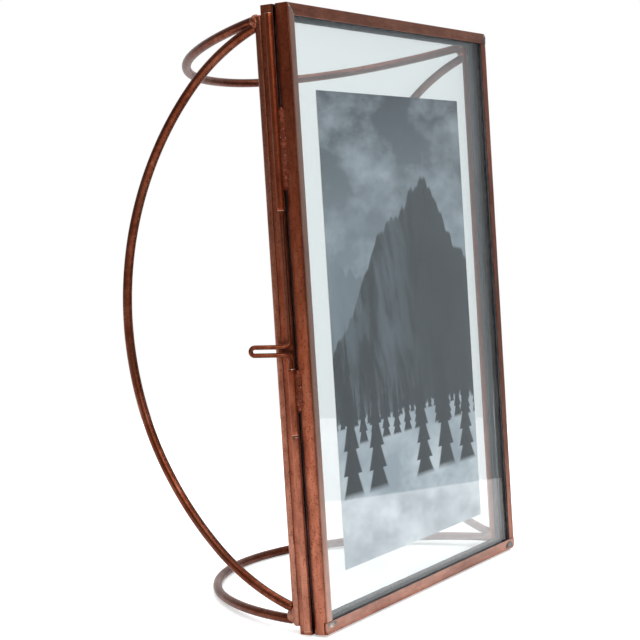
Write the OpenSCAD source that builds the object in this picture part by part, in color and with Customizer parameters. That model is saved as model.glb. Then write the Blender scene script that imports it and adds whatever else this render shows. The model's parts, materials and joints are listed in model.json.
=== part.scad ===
// Double-glass picture frame of folded copper-coloured channel on a cage of bent wire.
// A glazed door is hinged to a glazed back frame along the right side and is shut on the
// left by a wire bolt that slides in three small tubes. A print floats between the panes.
// Four wire bows behind the back frame hold it up, leaning back a few degrees.
// Everything is drawn upright first: x across, y from the front face backwards, z up.

/* [Glazed frames] */
// Outer width of the frames
frame_w = 140; // [120:1:170]
// Outer height of the frames
frame_h = 191; // [170:1:230]
// Depth of one folded channel, front to back
channel_d = 4.5; // [4.4:0.1:5.5]
// Thickness of the folded sheet
sheet_t = 0.5; // [0.4:0.05:0.6]
// Width of the lip on the front face
front_lip_w = 3.7; // [3.2:0.1:5]
// Width of the lip on the rear face
rear_lip_w = 4.5; // [4:0.1:5.5]
// Width of the legs that face each other across the seam
inner_leg_w = 2.6; // [2:0.1:3]
// Open seam between the shut door and the back frame
seam_gap = 0.7; // [0.5:0.05:1]
// Height of the door's lower edge above the back frame's
door_lift = 0.2; // [0.1:0.05:0.4]
// Dark gap at a butted corner, between the end of a stile's lip and the rail's lip
butt_gap = 0.25; // [0.15:0.05:0.4]

/* [Panes and print] */
// Thickness of each pane
glass_t = 3; // [2.5:0.1:3.1]
// Space between a pane's edge and the channel's wall
glass_edge_gap = 0.4; // [0.2:0.1:0.8]
// Distance that the packing stays back from the lip's edge
packing_setback = 0.3; // [0.1:0.1:0.8]
// Width of the print
print_w = 100; // [80:1:110]
// Height of the print
print_h = 150; // [120:1:155]
// Thickness of the print's paper
print_t = 0.25; // [0.2:0.05:0.4]
// Share of the panes' free height that lies below the print
print_low_share = 0.374; // [0.1:0.01:0.9]

/* [Latch and hinge tubes] */
// Outer radius of the tubes
tube_r = 1.2; // [1.1:0.05:1.4]
// Radius of the latch wire and of the hinge pin
pin_r = 0.7; // [0.6:0.05:0.75]
// Radial clearance of the wire and the pin in the tubes
pin_fit = 0.08; // [0.04:0.01:0.1]
// Space between a tube and the side of the frames
tube_standoff = 0.12; // [0.1:0.02:0.2]
// Distance of the tubes' axis behind the seam's rear edge
tube_setback = 0.75; // [0.6:0.05:1]
// Height of the lower end of the bottom tubes
tube_low_z = 1.5; // [1.4:0.1:4]
// Height of the upper end of the keeper tube
keeper_top_z = 60.9; // [55:0.5:65]
// Gap between two tubes that meet end to end
tube_gap = 0.6; // [0.4:0.1:1]
// Height of the upper end of the short latch tube
lower_tube_top_z = 81.6; // [78:0.2:82]
// Height of the lower end of the long latch tube
upper_tube_low_z = 129.2; // [125:0.5:135]
// Distance from the top of the frames down to the top tubes
tube_top_inset = 2.8; // [2.6:0.2:6]
// Height of the hinge pin's heads
pin_head_h = 0.5; // [0.4:0.1:0.8]
// Radius of the hinge pin's heads
pin_head_r = 1.05; // [0.95:0.05:1.1]
// Space between a pin head and the tube beside it
pin_head_gap = 0.1; // [0.05:0.05:0.2]

/* [Latch wire] */
// Height of the pull's middle
pull_z = 87; // [86:0.5:90]
// Centre-line length of the pull from the tubes' axis to the middle of its turn
pull_len = 10.7; // [8:0.1:14]
// Half the centre-line height of the pull
pull_half_h = 1.22; // [1.1:0.02:1.6]
// Centre-line radius of the bends beside the tubes
pull_bend_r = 2.2; // [1.8:0.1:2.6]
// Angle of the pull backwards from straight out of the side
pull_back_a = 52; // [30:1:65]
// Upward tilt of the pull
pull_tilt_a = 3; // [0:1:5]
// Gap between the wire's tip and the keeper tube's mouth
tip_gap = 0.35; // [0.3:0.05:0.5]
// Length of the wire inside the long tube
upper_leg_in_tube = 16; // [12:1:19]

/* [Wire cage] */
// Radius of the cage's wire
wire_r = 1.5; // [1.3:0.1:1.8]
// Distance of the upright rods' axes in from the frames' sides
rod_inset = 1.9; // [1.8:0.1:2.5]
// Height of the rods' lower ends
rod_low_z = 2.2; // [1.5:0.1:3]
// Distance from the top of the frames down to the rods' upper ends
rod_top_inset = 2.6; // [2:0.1:4]
// Gap that the solder fills between a rod and the end of a bow
bow_gap = 0.05; // [0.03:0.01:0.1]
// Depth of the side bows behind the rods' axes
side_bow_d = 56; // [48:0.5:60]
// Half angle of a side bow's middle stretch
side_bow_mid_a = 45; // [40:1:50]
// Half angle of a whole side bow
side_bow_end_a = 70.2; // [68:0.2:74]
// Outward splay of the side bows
side_bow_splay_a = 1.2; // [0:0.2:2]
// Height of the left bow's lower end
left_bow_low_z = 7.2; // [6:0.2:9]
// Height of the right bow's lower end
right_bow_low_z = 5.2; // [5:0.2:9]
// Distance from the top of the frames down to the left bow's upper end
left_bow_top_inset = 5.4; // [5.2:0.2:9]
// Distance from the top of the frames down to the right bow's upper end
right_bow_top_inset = 7.4; // [5.2:0.2:9]
// Depth of the top bow behind the rods' axes
top_bow_d = 60.6; // [50:0.2:65]
// Depth of the bottom bow behind the rods' axes
bottom_bow_d = 61.3; // [50:0.2:65]
// Distance from the top of the frames down to the top bow's ends
top_bow_inset = 3.7; // [3.5:0.1:6]
// Height of the bottom bow's ends
bottom_bow_z = 3.95; // [3.5:0.05:6]
// Droop of the top bow towards the rear
top_bow_droop_a = 9.6; // [0:0.2:12]
// Rise of the bottom bow towards the rear
bottom_bow_rise_a = 2; // [1:0.1:5]

/* [Solder] */
// Half width of the solder bead along a mitred corner
bead_r = 0.45; // [0.3:0.05:0.6]
// Height of the beads and dabs above the face that they lie on
bead_h = 0.22; // [0.15:0.01:0.3]
// Distance that a bead stays back from the corner's two ends
bead_inset = 0.7; // [0.5:0.1:1]
// Radius of the round dabs at the butted corners
dab_r = 1.3; // [1:0.1:1.6]
// Length of the solder on the long latch tube
upper_solder_len = 25; // [15:1:40]
// Length of the solder on the short latch tube
lower_solder_len = 12.5; // [8:0.5:15]
// Length of one short run of solder on a tube or rod
short_solder_len = 6; // [4:0.5:10]
// Length of the long run of solder near the top of a rod
rod_solder_len = 11.7; // [8:0.5:15]
// Height of the lowest run of solder on a rod
rod_low_run_z = 27; // [20:1:60]
// Reach of the solder along the frames' faces from a tube or rod
solder_reach = 1.7; // [1.5:0.1:2]
// Angle round a tube at which the solder ends on the door's side
door_fillet_a = 35; // [20:1:45]
// Angle round a tube at which the solder ends on the back frame's side
frame_fillet_a = 60; // [40:1:70]
// Angle round a rod at which the solder ends
rod_fillet_a = 20; // [10:1:30]
// Radius of the solder around the ends of two bows
joint_solder_r = 2.25; // [2.1:0.05:2.6]

/* [Hidden] */
$fn = 96;

// Sides that stand for a full turn of a wire
wire_fn = 48;

// Length by which a cutting shape runs past what it cuts
cut_over = 1;
// Share of a tube's or rod's radius at which the outline of a fillet ends inside it
fillet_end_share = 0.85;
// Shares of a tube's length at which its three runs of solder start
run_start_shares = [0.06, 0.44, 0.82];
// A bend is drawn this much thinner than the wire beside it, and runs this far into it
bend_step = 0.02;
bend_lap = 0.1;

// Half sizes and the planes from front to back
half_w = frame_w/2;
frames_d = 2*channel_d + seam_gap;
back_front_y = channel_d + seam_gap;
front_glass_y = channel_d - sheet_t - glass_t;
back_glass_y = back_front_y + sheet_t;

// Axis of the latch on the left side and of the hinge on the right side
tube_x = half_w + tube_standoff + tube_r;
tube_y = back_front_y + tube_setback;
tube_bore_r = pin_r + pin_fit;
tube_top_z = frame_h - tube_top_inset;

// Space that the hinge's middle tube leaves on each side
hinge_gap = tube_gap/2;

// Shape of the latch wire, in the plane that holds the tubes' axis and the pull
upper_bend_z = pull_z + (pull_half_h + pull_bend_r*(1 + sin(pull_tilt_a)))/cos(pull_tilt_a);
lower_bend_z = pull_z - (pull_half_h + pull_bend_r*(1 - sin(pull_tilt_a)))/cos(pull_tilt_a);
wire_tip_z = keeper_top_z + tip_gap;
wire_top_z = upper_tube_low_z + upper_leg_in_tube;

// Lower edge of the print
pane_free_h = frame_h - 2*inner_leg_w;
print_low_z = inner_leg_w + (pane_free_h - print_h)*print_low_share;

// Axes of the rods, and heights of the bows' ends
rod_x = half_w - rod_inset;
rod_y = frames_d + wire_r;
top_bow_z = frame_h - top_bow_inset;
left_bow_top_z = frame_h - left_bow_top_inset;
right_bow_top_z = frame_h - right_bow_top_inset;

// Lean at which the back frame's lower rear edge and the bottom bow both touch the ground
bottom_crown_y = rod_y + bottom_bow_d*cos(bottom_bow_rise_a);
bottom_crown_z = bottom_bow_z + bottom_bow_d*sin(bottom_bow_rise_a);
crown_reach = norm([bottom_crown_y - frames_d, bottom_crown_z]);
lean_a = atan(bottom_crown_z/(bottom_crown_y - frames_d)) - asin(wire_r/crown_reach);

// Middle of the overall box, which is put at the origin
top_crown_y = rod_y + top_bow_d*cos(top_bow_droop_a);
top_crown_z = top_bow_z - top_bow_d*sin(top_bow_droop_a);
box_rear_y = top_crown_y*cos(lean_a) + top_crown_z*sin(lean_a) + wire_r;
box_left_x = -tube_x - pin_r - (pull_len*cos(pull_tilt_a) + pull_half_h)*cos(pull_back_a);
box_right_x = tube_x + tube_r;

copper = "#7a4630";
copper_light = "#a8694f";
solder_grey = "#8d8a86";
glass_tint = [0.85, 0.93, 0.95, 0.35];
packing_grey = "#3c4448";
print_grey = "#5b6870";

// Leans the upright drawing back and puts the middle of its box on the ground at the origin
module placed() {
    translate([-(box_left_x + box_right_x)/2, -box_rear_y/2, frames_d*sin(lean_a)])
        rotate([-lean_a, 0, 0])
            children();
}

// Extrudes an outline drawn in x and z over a depth, from y backwards
module plate(y, d) {
    translate([0, y + d, 0])
        rotate([90, 0, 0])
            linear_extrude(d)
                children();
}

// Round tube standing on a point, with a bore along its length
module tube(x, low_z, top_z) {
    translate([x, tube_y, low_z])
        difference() {
            cylinder(h = top_z - low_z, r = tube_r);
            translate([0, 0, -cut_over])
                cylinder(h = top_z - low_z + 2*cut_over, r = tube_bore_r);
        }
}

// Outline of a top or bottom strip with both ends mitred between the walls of the stiles
module mitred_rail(w, low_z, is_top) {
    edge_z = is_top ? frame_h : low_z;
    wall_z = is_top ? frame_h - sheet_t : low_z + sheet_t;
    inner_z = is_top ? frame_h - w : low_z + w;
    end_x = half_w - sheet_t;
    polygon([
        [-end_x, edge_z], [end_x, edge_z], [end_x, wall_z],
        [half_w - w, inner_z], [-half_w + w, inner_z], [-end_x, wall_z]
    ]);
}

// Outline of a side strip, of which each end is mitred, or square where a rail's lip covers it
module mitred_stile(side, w, low_z, is_low_square, is_top_square) {
    outer_low_z = is_low_square ? low_z + w : low_z;
    outer_top_z = is_top_square ? frame_h - w : frame_h;
    polygon([
        [side*half_w, outer_low_z],
        [side*half_w, outer_top_z],
        [side*(half_w - w), frame_h - w],
        [side*(half_w - w), low_z + w]
    ]);
}

// Outline of the front top rail's lip, mitred on the left and square over the right stile
module front_top_lip() {
    end_x = half_w - sheet_t;
    inner_z = frame_h - front_lip_w;
    polygon([
        [-end_x, frame_h], [half_w, frame_h], [half_w, inner_z],
        [-half_w + front_lip_w, inner_z], [-end_x, frame_h - sheet_t]
    ]);
}

// Wall of a top or bottom rail, between the walls of the stiles
module rail_wall(y, z) {
    translate([-half_w + sheet_t, y, z])
        cube([frame_w - 2*sheet_t, channel_d, sheet_t]);
}

// Wall of a stile over the frame's full height
module stile_wall(side, y, low_z) {
    translate([side > 0 ? half_w - sheet_t : -half_w, y, low_z])
        cube([sheet_t, channel_d, frame_h - low_z]);
}

module front_top_rail() {
    color(copper) placed() {
        plate(0, sheet_t) front_top_lip();
        plate(channel_d - sheet_t, sheet_t) mitred_rail(inner_leg_w, door_lift, true);
        rail_wall(0, frame_h - sheet_t);
    }
}

// The bottom rail's lip runs over the full width, in front of the stiles
module front_bottom_rail() {
    color(copper_light) placed() {
        translate([-half_w, 0, door_lift])
            cube([frame_w, sheet_t, front_lip_w]);
        plate(channel_d - sheet_t, sheet_t) mitred_rail(inner_leg_w, door_lift, false);
        rail_wall(0, door_lift);
    }
}

// Space for the end of a rail's square lip, and for the dark gap behind it
module lip_notch(side, z) {
    translate([side*half_w - sheet_t - cut_over, -cut_over, z - cut_over])
        cube([2*(sheet_t + cut_over), sheet_t + butt_gap + cut_over, front_lip_w + 2*cut_over]);
}

module front_stile(side) {
    is_top_square = side > 0;
    placed() {
        plate(0, sheet_t) mitred_stile(side, front_lip_w, door_lift, true, is_top_square);
        plate(channel_d - sheet_t, sheet_t) mitred_stile(side, inner_leg_w, door_lift, false, false);
        difference() {
            stile_wall(side, 0, door_lift);
            lip_notch(side, door_lift - cut_over);
            if (is_top_square) lip_notch(side, frame_h - front_lip_w + cut_over);
        }
    }
}

module front_left_stile() {
    color(copper) front_stile(-1);
}

module front_right_stile() {
    color(copper) front_stile(1);
}

module pane(y, low_z) {
    inset = sheet_t + glass_edge_gap;
    translate([-half_w + inset, y, low_z + inset])
        cube([frame_w - 2*inset, glass_t, frame_h - low_z - 2*inset]);
}

module front_glass() {
    color(glass_tint) placed() pane(front_glass_y, door_lift);
}

// Ring of packing that fills the channel between a lip and its pane
module packing(y, lip_w, low_z) {
    inner = lip_w - packing_setback;
    plate(y, channel_d - 2*sheet_t - glass_t)
        difference() {
            translate([-half_w + sheet_t, low_z + sheet_t])
                square([frame_w - 2*sheet_t, frame_h - low_z - 2*sheet_t]);
            translate([-half_w + inner, low_z + inner])
                square([frame_w - 2*inner, frame_h - low_z - 2*inner]);
        }
}

module front_packing() {
    color(packing_grey) placed() packing(sheet_t, front_lip_w, door_lift);
}

module back_top_rail() {
    color(copper) placed() {
        plate(frames_d - sheet_t, sheet_t) mitred_rail(rear_lip_w, 0, true);
        plate(back_front_y, sheet_t) mitred_rail(inner_leg_w, 0, true);
        rail_wall(back_front_y, frame_h - sheet_t);
    }
}

module back_bottom_rail() {
    color(copper_light) placed() {
        plate(frames_d - sheet_t, sheet_t) mitred_rail(rear_lip_w, 0, false);
        plate(back_front_y, sheet_t) mitred_rail(inner_leg_w, 0, false);
        rail_wall(back_front_y, 0);
    }
}

module back_stile(side) {
    placed() {
        plate(frames_d - sheet_t, sheet_t) mitred_stile(side, rear_lip_w, 0, false, false);
        plate(back_front_y, sheet_t) mitred_stile(side, inner_leg_w, 0, false, false);
        stile_wall(side, back_front_y, 0);
    }
}

module back_left_stile() {
    color(copper) back_stile(-1);
}

module back_right_stile() {
    color(copper) back_stile(1);
}

module back_glass() {
    color(glass_tint) placed() pane(back_glass_y, 0);
}

module back_packing() {
    color(packing_grey) placed() packing(back_glass_y + glass_t, rear_lip_w, 0);
}

// The print lies flat on the back pane, facing the door
module photo_print() {
    color(print_grey) placed()
        translate([-print_w/2, back_glass_y - print_t, print_low_z])
            cube([print_w, print_t, print_h]);
}

module latch_upper_tube() {
    color(copper) placed() tube(-tube_x, upper_tube_low_z, tube_top_z);
}

module latch_lower_tube() {
    color(copper) placed() tube(-tube_x, keeper_top_z + tube_gap, lower_tube_top_z);
}

module latch_keeper_tube() {
    color(copper_light) placed() tube(-tube_x, tube_low_z, keeper_top_z);
}

// One bend of the latch wire about a centre given in the pull's plane, lapped into both legs
module wire_bend(x, z, r, start_a, turn_a) {
    lap_a = bend_lap/r*180/PI;
    translate([x, 0, z])
        rotate([90, 0, 0])
            rotate([0, 0, start_a - lap_a])
                rotate_extrude(angle = turn_a + 2*lap_a)
                    translate([r, 0])
                        circle(r = pin_r - bend_step, $fn = wire_fn);
}

// One straight stretch of the pull, tangent to a bend and offset from the pull's middle line
module pull_leg(offset_z, from_along) {
    translate([0, 0, pull_z])
        rotate([0, -pull_tilt_a, 0])
            translate([from_along, 0, offset_z])
                rotate([0, 90, 0])
                    cylinder(h = pull_len - from_along, r = pin_r, $fn = wire_fn);
}

// The bolt: two upright legs in line, with a flat hairpin bent out between them as the pull
module latch_wire() {
    turn_x = pull_len*cos(pull_tilt_a);
    turn_z = pull_z + pull_len*sin(pull_tilt_a);
    upper_start = pull_bend_r*cos(pull_tilt_a) + (upper_bend_z - pull_z)*sin(pull_tilt_a);
    lower_start = pull_bend_r*cos(pull_tilt_a) - (pull_z - lower_bend_z)*sin(pull_tilt_a);
    color(copper) placed()
        translate([-tube_x, tube_y, 0])
            rotate([0, 0, 180 - pull_back_a]) {
                translate([0, 0, upper_bend_z])
                    cylinder(h = wire_top_z - upper_bend_z, r = pin_r, $fn = wire_fn);
                wire_bend(pull_bend_r, upper_bend_z, pull_bend_r, 180, 90 + pull_tilt_a);
                pull_leg(pull_half_h, upper_start);
                wire_bend(turn_x, turn_z, pull_half_h, -90 + pull_tilt_a, 180);
                pull_leg(-pull_half_h, lower_start);
                wire_bend(pull_bend_r, lower_bend_z, pull_bend_r, 90 + pull_tilt_a, 90 - pull_tilt_a);
                translate([0, 0, wire_tip_z])
                    cylinder(h = lower_bend_z - wire_tip_z, r = pin_r, $fn = wire_fn);
            }
}

module hinge_upper_tube() {
    color(copper) placed() tube(tube_x, upper_tube_low_z, tube_top_z);
}

module hinge_middle_tube() {
    color(copper) placed() tube(tube_x, keeper_top_z + hinge_gap, upper_tube_low_z - hinge_gap);
}

module hinge_lower_tube() {
    color(copper) placed() tube(tube_x, tube_low_z, keeper_top_z);
}

// The pin runs through all three tubes and is spread to a flat head at both ends
module hinge_pin() {
    low_head_z = tube_low_z - pin_head_gap - pin_head_h;
    top_head_z = tube_top_z + pin_head_gap;
    color(copper) placed()
        translate([tube_x, tube_y, 0]) {
            translate([0, 0, low_head_z])
                cylinder(h = top_head_z + pin_head_h - low_head_z, r = pin_r);
            translate([0, 0, low_head_z])
                cylinder(h = pin_head_h, r = pin_head_r);
            translate([0, 0, top_head_z])
                cylinder(h = pin_head_h, r = pin_head_r);
        }
}

// Fillet between a tube and the door's side, clear of the back frame
module door_fillet(side, low_z, len) {
    end_r = tube_r*fillet_end_share;
    translate([0, 0, low_z])
        linear_extrude(len)
            difference() {
                polygon([
                    [side*half_w, channel_d - solder_reach],
                    [side*half_w, channel_d + seam_gap/2],
                    [side*tube_x, tube_y],
                    [side*(tube_x + end_r*cos(door_fillet_a)), tube_y - end_r*sin(door_fillet_a)]
                ]);
                translate([side*tube_x, tube_y])
                    circle(r = tube_r);
            }
}

// Fillet between a tube and the back frame's side, on the tube's rear side
module frame_fillet(side, low_z, len) {
    end_r = tube_r*fillet_end_share;
    translate([0, 0, low_z])
        linear_extrude(len)
            difference() {
                polygon([
                    [side*half_w, tube_y],
                    [side*tube_x, tube_y],
                    [side*(tube_x + end_r*cos(frame_fillet_a)), tube_y + end_r*sin(frame_fillet_a)],
                    [side*half_w, tube_y + solder_reach]
                ]);
                translate([side*tube_x, tube_y])
                    circle(r = tube_r);
            }
}

module latch_tube_solder() {
    color(copper) placed() {
        door_fillet(-1, upper_tube_low_z + short_solder_len, upper_solder_len);
        door_fillet(-1, lower_tube_top_z - lower_solder_len - tube_gap, lower_solder_len);
    }
}

// Evenly spaced starts of three short runs of solder on a tube
function run_starts(low_z, top_z) = [
    for (share = run_start_shares) low_z + (top_z - low_z)*share
];

module keeper_solder() {
    color(solder_grey) placed()
        for (z = run_starts(tube_low_z, keeper_top_z))
            frame_fillet(-1, z, short_solder_len);
}

module hinge_frame_solder() {
    color(solder_grey) placed() {
        for (z = run_starts(tube_low_z, keeper_top_z))
            frame_fillet(1, z, short_solder_len);
        for (z = run_starts(upper_tube_low_z, tube_top_z))
            frame_fillet(1, z, short_solder_len);
    }
}

module hinge_door_solder() {
    color(solder_grey) placed()
        for (z = run_starts(keeper_top_z, upper_tube_low_z))
            door_fillet(1, z, short_solder_len);
}

// Bead on a flat face along a mitre, as the part of a round bar that stands out of the face
module mitre_bead(side, lip_w, corner_z, down, face_y, outward) {
    bar_r = (bead_r*bead_r + bead_h*bead_h)/(2*bead_h);
    len = (lip_w - 2*bead_inset)*sqrt(2);
    intersection() {
        translate([side*(half_w - bead_inset), face_y - outward*(bar_r - bead_h), corner_z - down*bead_inset])
            rotate([0, side*(down > 0 ? -135 : -45), 0])
                cylinder(h = len, r = bar_r);
        translate([side*half_w - lip_w, outward > 0 ? face_y : face_y - 2*bead_h, corner_z - lip_w])
            cube([2*lip_w, 2*bead_h, 2*lip_w]);
    }
}

// Round dab of solder that stands out of the front face
module front_dab(x, z) {
    translate([x, 0, z])
        rotate([90, 0, 0])
            cylinder(h = bead_h, r1 = dab_r, r2 = dab_r - 2*bead_h);
}

module front_corner_solder() {
    color(solder_grey) placed() {
        mitre_bead(-1, front_lip_w, frame_h, 1, 0, -1);
        front_dab(half_w - dab_r, frame_h - front_lip_w/2);
        for (side = [-1, 1])
            front_dab(side*(half_w - front_lip_w/2), door_lift + front_lip_w - bead_inset);
    }
}

// The beads on the rear corners run up to the rods' ends on both sides
module back_corner_solder() {
    color(solder_grey) placed()
        for (side = [-1, 1])
            difference() {
                union() {
                    mitre_bead(side, rear_lip_w, frame_h, 1, frames_d, 1);
                    mitre_bead(side, rear_lip_w, 0, -1, frames_d, 1);
                }
                rod_bar(side, rod_low_z - bow_gap, frame_h - rod_top_inset + bow_gap, wire_r + bow_gap);
            }
}

// Radii of a side bow's middle and end stretches, from its half chord and its depth
function bow_radii(half_chord) =
    let (
        mid_wide = sin(side_bow_mid_a),
        mid_deep = 1 - cos(side_bow_mid_a),
        end_wide = sin(side_bow_end_a) - mid_wide,
        end_deep = cos(side_bow_mid_a) - cos(side_bow_end_a),
        share = mid_wide*end_deep - mid_deep*end_wide
    )
    [
        (half_chord*end_deep - side_bow_d*end_wide)/share,
        (mid_wide*side_bow_d - mid_deep*half_chord)/share
    ];

// End stretch of a side bow, on the +x side, lapped into the middle stretch
module bow_end(mid_r, end_r) {
    lap_a = bend_lap/end_r*180/PI;
    translate([(mid_r - end_r)*sin(side_bow_mid_a), side_bow_d - mid_r + (mid_r - end_r)*cos(side_bow_mid_a)])
        rotate([0, 0, 90 - side_bow_end_a])
            rotate_extrude(angle = side_bow_end_a - side_bow_mid_a + lap_a)
                translate([end_r, 0])
                    circle(r = wire_r - bend_step, $fn = wire_fn);
}

// Side bow in the x-y plane: its chord lies along x through the origin, its crown points to +y
module bow(half_chord) {
    radii = bow_radii(half_chord);
    translate([0, side_bow_d - radii[0]])
        rotate([0, 0, 90 - side_bow_mid_a])
            rotate_extrude(angle = 2*side_bow_mid_a)
                translate([radii[0], 0])
                    circle(r = wire_r, $fn = wire_fn);
    for (end = [0, 1])
        mirror([end, 0, 0])
            bow_end(radii[0], radii[1]);
}

// Bow of one radius, from its half chord and depth
module round_bow(half_chord, depth) {
    r = (half_chord*half_chord + depth*depth)/(2*depth);
    half_a = acos((r - depth)/r);
    translate([0, depth - r])
        rotate([0, 0, 90 - half_a])
            rotate_extrude(angle = 2*half_a)
                translate([r, 0])
                    circle(r = wire_r, $fn = wire_fn);
}

// Whole side bow in its place behind a rod
module side_bow_bar(side, low_z, top_z) {
    translate([side*rod_x, rod_y, (low_z + top_z)/2])
        rotate([0, 0, -side*side_bow_splay_a])
            rotate([0, 90, 0])
                bow((top_z - low_z)/2);
}

module top_bow_bar() {
    translate([0, rod_y, top_bow_z])
        rotate([-top_bow_droop_a, 0, 0])
            round_bow(rod_x, top_bow_d);
}

module bottom_bow_bar() {
    translate([0, rod_y, bottom_bow_z])
        rotate([bottom_bow_rise_a, 0, 0])
            round_bow(rod_x, bottom_bow_d);
}

// Upright bar about a rod's axis
module rod_bar(side, low_z, top_z, r) {
    translate([side*rod_x, rod_y, low_z])
        cylinder(h = top_z - low_z, r = r);
}

// Bars longer than the rods, that hollow the bows' ends to fit round them
module rod_bars() {
    for (side = [-1, 1])
        rod_bar(side, -cut_over, frame_h + cut_over, wire_r + bow_gap);
}

module rod(side) {
    placed() rod_bar(side, rod_low_z, frame_h - rod_top_inset, wire_r);
}

module left_rod() {
    color(copper) rod(-1);
}

module right_rod() {
    color(copper) rod(1);
}

module top_bow() {
    color(copper) placed()
        difference() {
            top_bow_bar();
            rod_bars();
        }
}

module bottom_bow() {
    color(copper) placed()
        difference() {
            bottom_bow_bar();
            rod_bars();
        }
}

// Block above the plane that touches the underside of the top bow
module above_top_bow() {
    translate([0, rod_y, top_bow_z])
        rotate([-top_bow_droop_a, 0, 0])
            translate([-half_w, -rod_y, -wire_r])
                cube([frame_w, 2*rod_y + top_bow_d, frame_h]);
}

// Block below the plane that touches the upper side of the bottom bow
module below_bottom_bow() {
    translate([0, rod_y, bottom_bow_z])
        rotate([bottom_bow_rise_a, 0, 0])
            translate([-half_w, -rod_y, wire_r - frame_h])
                cube([frame_w, 2*rod_y + bottom_bow_d, frame_h]);
}

// A side bow is fitted round its rod, and its ends are filed flat where they meet the level bows
module side_bow(side, low_z, top_z) {
    placed()
        difference() {
            side_bow_bar(side, low_z, top_z);
            rod_bars();
            above_top_bow();
            below_bottom_bow();
        }
}

module left_bow() {
    color(copper) side_bow(-1, left_bow_low_z, left_bow_top_z);
}

module right_bow() {
    color(copper) side_bow(1, right_bow_low_z, right_bow_top_z);
}

// Fillets on both sides of a rod where it lies on the back frame's rear face
module rod_fillets(side, low_z, len) {
    end_r = wire_r*fillet_end_share;
    translate([side*rod_x, rod_y, low_z])
        linear_extrude(len)
            difference() {
                polygon([
                    [-solder_reach, -wire_r],
                    [-end_r*cos(rod_fillet_a), -end_r*sin(rod_fillet_a)],
                    [end_r*cos(rod_fillet_a), -end_r*sin(rod_fillet_a)],
                    [solder_reach, -wire_r]
                ]);
                circle(r = wire_r);
            }
}

module rod_solder() {
    top_run_z = frame_h - top_bow_inset - short_solder_len - wire_r - rod_solder_len;
    color(solder_grey) placed()
        for (side = [-1, 1]) {
            rod_fillets(side, top_run_z, rod_solder_len);
            rod_fillets(side, frame_h/2, short_solder_len);
            rod_fillets(side, rod_low_run_z, short_solder_len);
        }
}

// Ball of solder that holds the ends of two bows to their rod
module joint_solder(side, level_z, end_z) {
    translate([side*rod_x, rod_y + wire_r, (level_z + end_z)/2])
        sphere(r = joint_solder_r);
}

module bow_solder() {
    color(solder_grey) placed() {
        joint_solder(-1, top_bow_z, left_bow_top_z);
        joint_solder(-1, bottom_bow_z, left_bow_low_z);
        joint_solder(1, top_bow_z, right_bow_top_z);
        joint_solder(1, bottom_bow_z, right_bow_low_z);
    }
}

front_top_rail();
front_bottom_rail();
front_left_stile();
front_right_stile();
front_glass();
front_packing();
front_corner_solder();
back_top_rail();
back_bottom_rail();
back_left_stile();
back_right_stile();
back_glass();
back_packing();
back_corner_solder();
photo_print();
latch_upper_tube();
latch_lower_tube();
latch_tube_solder();
latch_keeper_tube();
keeper_solder();
latch_wire();
hinge_upper_tube();
hinge_lower_tube();
hinge_frame_solder();
hinge_pin();
hinge_middle_tube();
hinge_door_solder();
left_rod();
right_rod();
rod_solder();
left_bow();
right_bow();
top_bow();
bottom_bow();
bow_solder();
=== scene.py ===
"""Double-glass picture frame of folded copper channel on a cage of bent wire, in its studio.

A glazed door is hinged to a glazed back frame along the right side and is shut on the left by a
wire bolt in three small tubes. A print floats between the panes, and four wire bows behind the
back frame hold it up. Meshes are drawn upright in millimetres: x across, y from the front face
backwards, z up. Placement then leans them back into the part's own frame, in metres.
"""

import json
import logging
import math
from dataclasses import dataclass
from enum import Enum
from typing import Callable, Sequence

import bmesh
import bpy
from mathutils import Matrix, Vector, noise


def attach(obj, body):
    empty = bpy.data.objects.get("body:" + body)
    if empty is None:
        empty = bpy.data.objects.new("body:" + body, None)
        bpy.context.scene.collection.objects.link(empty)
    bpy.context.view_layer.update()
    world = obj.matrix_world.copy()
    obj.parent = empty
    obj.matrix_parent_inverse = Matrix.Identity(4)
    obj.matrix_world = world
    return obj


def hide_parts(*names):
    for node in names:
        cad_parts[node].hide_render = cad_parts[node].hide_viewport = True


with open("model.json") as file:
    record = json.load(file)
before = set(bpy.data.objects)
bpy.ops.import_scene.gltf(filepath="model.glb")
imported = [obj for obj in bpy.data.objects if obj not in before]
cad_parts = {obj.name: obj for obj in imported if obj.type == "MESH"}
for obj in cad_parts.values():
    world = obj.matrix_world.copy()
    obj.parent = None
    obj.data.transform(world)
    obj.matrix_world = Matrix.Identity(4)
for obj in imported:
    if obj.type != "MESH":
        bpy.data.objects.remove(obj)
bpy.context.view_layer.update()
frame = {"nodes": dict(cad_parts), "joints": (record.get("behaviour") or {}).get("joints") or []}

MM = 0.001
SHARP_ANGLE = math.radians(38)
TONE = "tone"
SEED_SPREAD = 7.31
CHANNEL_DEPTH = 4.5
FRONT_LIP = 3.7
SEAM_LEG = 2.6
REAR_LIP = 4.5
THIN_WIRE_R = 0.7
PULL_Z = 87.0
LEVEL_BOW_FOOT = 3.95
LEVEL_BOW_DROP = 3.7
SIDE_BOW_FOOT = {"left": 7.2, "right": 5.2}
SIDE_BOW_DROP = {"left": 5.4, "right": 7.4}

Colour = tuple[float, float, float, float]
Point = tuple[float, float]
Band = tuple[float, float]
Socket = bpy.types.NodeSocket
Material = bpy.types.Material
Mesh = bmesh.types.BMesh
Vertex = bmesh.types.BMVert
Plan = Callable[[float], tuple[Vector, Vector, Vector, Vector]]

log = logging.getLogger("picture_frame")


class Body(Enum):
    """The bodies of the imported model."""

    BACK = "back_frame"
    DOOR = "door"
    LATCH = "latch"


class Slot(Enum):
    """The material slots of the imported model."""

    SHEET = "copper_sheet"
    TUBE = "copper_tube"
    WIRE = "copper_wire"
    SOLDER = "solder"
    PAPER = "paper"


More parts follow.
